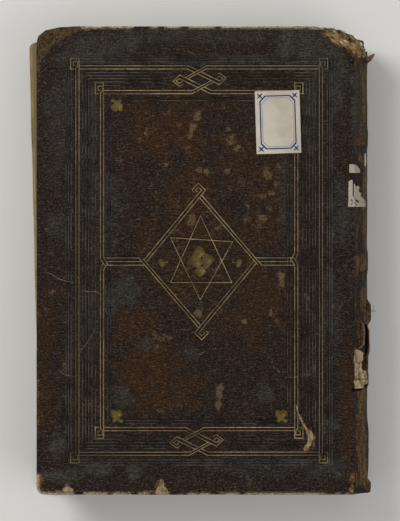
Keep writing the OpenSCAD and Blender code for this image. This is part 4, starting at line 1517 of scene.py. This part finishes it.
def buildThread():
    look = threadLook
    x, y = onPhoto(*look["at"])
    bpy.ops.mesh.primitive_circle_add(vertices=look["sides"], radius=look["radius"], fill_type="NGON",
                                      location=(x - look["tail"], y, look["height"]),
                                      rotation=(0, math.radians(90), 0))
    thread = bpy.context.object
    thread.name = "frayedThread"
    applyPlace(thread)
    openEdit(thread, everything=True)
    extrudeBy(look["tail"], 0, 0)
    bpy.ops.mesh.spin(steps=look["steps"], angle=math.radians(look["turn"]),
                      center=(x, y + look["bend"], look["height"]), axis=(0, 0, 1))
    closeOutward(weld=True)
    places = points(thread)
    places[:, 2] += look["slope"] * (places[:, 0] - x)
    setPoints(thread, places)
    dress(thread, "label")
    smooth(thread, 60)
    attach(thread, "text_block")


strandLook = {"radius": 0.21 * mm, "tip": 0.03 * mm, "shortest": 1.4 * mm, "longest": 4.4 * mm,
              "turn": -34, "spread": 26, "tilt": (-8, 16), "cornerCount": 52, "cornerSpread": 1.5 * mm,
              "cornerDrop": (0.2, 1.3), "spineCount": 34, "spineSpread": (0.8 * mm, 1.2 * mm),
              "spineIn": 0.4 * mm, "beyondDrop": 12 * mm}
cornerLine, headLine = ((327, 31), (343, 38), (354, 44)), ((356, 44), (365.6, 53))
rimRun = [(362.2, 322), (364.8, 327.6), (364.4, 333), (363.9, 344), (361, 347.8), (358, 349), (358.2, 347.6),
          (360.8, 346.4), (362.6, 343), (362.8, 334), (362.8, 328.6), (360.8, 324)]


def strands(name, places, rng):
    look = strandLook
    made = []
    for x, y, z in places:
        length = rng.uniform(look["shortest"], look["longest"])
        turn = math.radians(look["turn"] + rng.normal(0, look["spread"]))
        tilt = math.radians(90 - rng.uniform(*look["tilt"]))
        bpy.ops.mesh.primitive_cone_add(vertices=5, radius1=look["radius"], radius2=look["tip"],
                                        depth=length, location=(x, y, z), rotation=(0, tilt, turn))
        made.append(bpy.context.object)
    for k, obj in enumerate(made):
        dress(obj, "tornCore" if k % 3 else "board")
    tuft = joined(made, name)
    applyPlace(tuft)
    smooth(tuft, 60)
    return tuft


def buildStrands():
    look = strandLook
    rng = np.random.default_rng(8)
    a, b, c = photoRun(cornerLine)
    places = []
    for _ in range(look["cornerCount"]):
        t = rng.uniform(0, 1)
        spot = a.lerp(b, 2 * t) if t < 0.5 else b.lerp(c, 2 * t - 1)
        push = rng.normal(0, look["cornerSpread"])
        places.append((spot.x + 0.4 * push, spot.y + push, topZ - rng.uniform(*look["cornerDrop"]) * mm))
    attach(strands("headCornerStrands", places, rng), "front_cover")
    a, b = photoRun(headLine)
    spreadX, spreadY = look["spineSpread"]
    places = []
    for _ in range(look["spineCount"]):
        spot = a.lerp(b, rng.uniform(0, 1))
        x, y = spot.x + rng.normal(0, spreadX), spot.y + rng.normal(0, spreadY)
        onLine = x < spineLine[:, 0].max() - 0.3 * mm
        z = np.interp(x, spineLine[:, 0], spineLine[:, 1]) if onLine else topZ - look["beyondDrop"]
        places.append((min(x, spineHigh.x - look["spineIn"]), y, z - rng.uniform(0, 0.5) * mm))
    blendOverJoint(strands("spineHeadStrands", places, rng))


rimLook = {"edge": (0.7 * mm, 0.3 * mm), "cell": 0.45 * mm, "thickness": 0.4 * mm, "rise": 0.5 * mm,
           "waveSize": 2.4 * mm}


def buildTornRim():
    look = rimLook
    rim = tornPatch("tornSpineRim", overSpine(rimRun), look["edge"], 91, look["cell"], look["thickness"],
                    "tornEdge")
    places = points(rim)
    places[:, 2] += look["rise"] * (1 + noiseField(places * (1, 1, 0), look["waveSize"], 92))
    setPoints(rim, places)
    overJoint([rim], "tornSpineRim", 0, 40)


buildScraps()
buildLiningScraps()
buildHeadFibres()
buildStrands()
buildTornRim()
buildFlake()
buildThread()
print("scraps made")

# Split pasteboard showing where the leather has gone: corner, layer heights below the face
cornerLook = {"sheets": 6, "sheetT": 0.34 * mm, "top": 0.62 * mm, "stepDown": 0.46 * mm, "cell": 0.9 * mm,
              "edge": (0.9 * mm, 0.7 * mm)}
headCorner = {
    "inner": [(322, 36), (331, 43.5), (342, 48.5), (351, 54), (354.6, 58.5)],
    "outer": [(354.6, 38.6), (351, 34.8), (343, 30.8), (335, 28.4), (324, 27.4)],
}
footCorner = {
    "inner": [(354.6, 477), (349.4, 481), (345.6, 492)],
    "outer": [(347, 494.6), (354.6, 494.6)],
}


def buildCornerLayers(name, corner, seed, finishName):
    look = cornerLook
    sheets = []
    inner, outer = photoRun(corner["inner"]), photoRun(corner["outer"])
    middle = sum(inner, Vector((0, 0))) / len(inner)
    for k in range(look["sheets"]):
        keep = 1 - 0.16 * (look["sheets"] - 1 - k) / look["sheets"] * (1 + (seed + k * 5) % 3)
        shrunk = [middle + (spot - middle) * keep for spot in outer]
        low = topZ - look["top"] - (k + 1) * look["stepDown"]
        sheet = tornPatch("sheet", inner + shrunk, look["edge"], seed + k, look["cell"], look["sheetT"],
                          finishName)
        places = points(sheet)
        away = np.hypot(places[:, 0] - middle.x, places[:, 1] - middle.y)
        lift = 0.5 * mm * noiseField(places * (1, 1, 0), 5 * mm, seed + k) * easeField(away, 3 * mm, 10 * mm)
        places[:, 2] += low + np.clip(lift, -0.15 * mm, 0.6 * mm)
        setPoints(sheet, places)
        sheets.append(sheet)
    layers = joined(sheets, name)
    smooth(layers, 40)
    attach(layers, "front_cover")


buildCornerLayers("headCornerLayers", headCorner, 61, "board")
buildCornerLayers("footCornerLayers", footCorner, 71, "goldenCore")
print("corner layers made")


nodeFinishes = {"board": ("front_board", "back_board"), "endpaper": ("front_pastedown", "back_pastedown"),
                "darkLining": ("spine_lining",), "hemp": [f"sewing_cord_{k}" for k in (1, 2, 3, 4)]}
for finishName, nodeNames in nodeFinishes.items():
    for nodeName in nodeNames:
        dress(frame["nodes"][nodeName], finishName)

# Camera, lights and floor
sceneLook = {"cameraHeight": 1.8, "rows": 521, "frameMiddle": (200, 260.5), "sensor": 24, "farthest": 20,
             "aim": (0, 0, 0.02), "floor": 14, "floorTone": (214, 212, 208), "skyLight": 0.45}


def makeCamera():
    x, y = onPhoto(*sceneLook["frameMiddle"])
    bpy.ops.object.camera_add(location=(x, y, topZ + sceneLook["cameraHeight"]), rotation=(0, 0, 0))
    camera = bpy.context.object
    camera.data.sensor_fit = "VERTICAL"
    camera.data.sensor_height = sceneLook["sensor"]
    camera.data.lens = sceneLook["sensor"] * sceneLook["cameraHeight"] / (sceneLook["rows"] * photo["pixel"])
    camera.data.clip_end = sceneLook["farthest"]
    bpy.context.scene.camera = camera


def makeLight(name, location, size, power):
    bpy.ops.object.light_add(type="AREA", location=location)
    light = bpy.context.object
    light.name = name
    light.data.size = size
    light.data.energy = power
    aim = Vector(sceneLook["aim"]) - Vector(location)
    light.rotation_euler = aim.to_track_quat("-Z", "Y").to_euler()


def makeStage():
    bpy.ops.mesh.primitive_plane_add(size=sceneLook["floor"], location=(0, 0, -0.3 * mm))
    floor = bpy.context.object
    floor.name = "floor"
    material, _, shader = finish("paleFloor", 0.85, 0.2)
    shader.inputs["Base Color"].default_value = tone(*sceneLook["floorTone"])
    floor.data.materials.append(material)
    world = bpy.data.worlds.new("softWorld")
    world.use_nodes = True
    sky = world.node_tree.nodes["Background"]
    sky.inputs["Color"].default_value = (1, 1, 1, 1)
    sky.inputs["Strength"].default_value = sceneLook["skyLight"]
    bpy.context.scene.world = world
    bpy.context.scene.view_settings.view_transform = "Standard"


makeCamera()
makeLight("keyLight", (-0.9, 0.75, 1.15), 0.7, 16)
makeLight("fillLight", (1.0, -0.5, 1.2), 1.1, 7)
makeStage()
print("stage made")
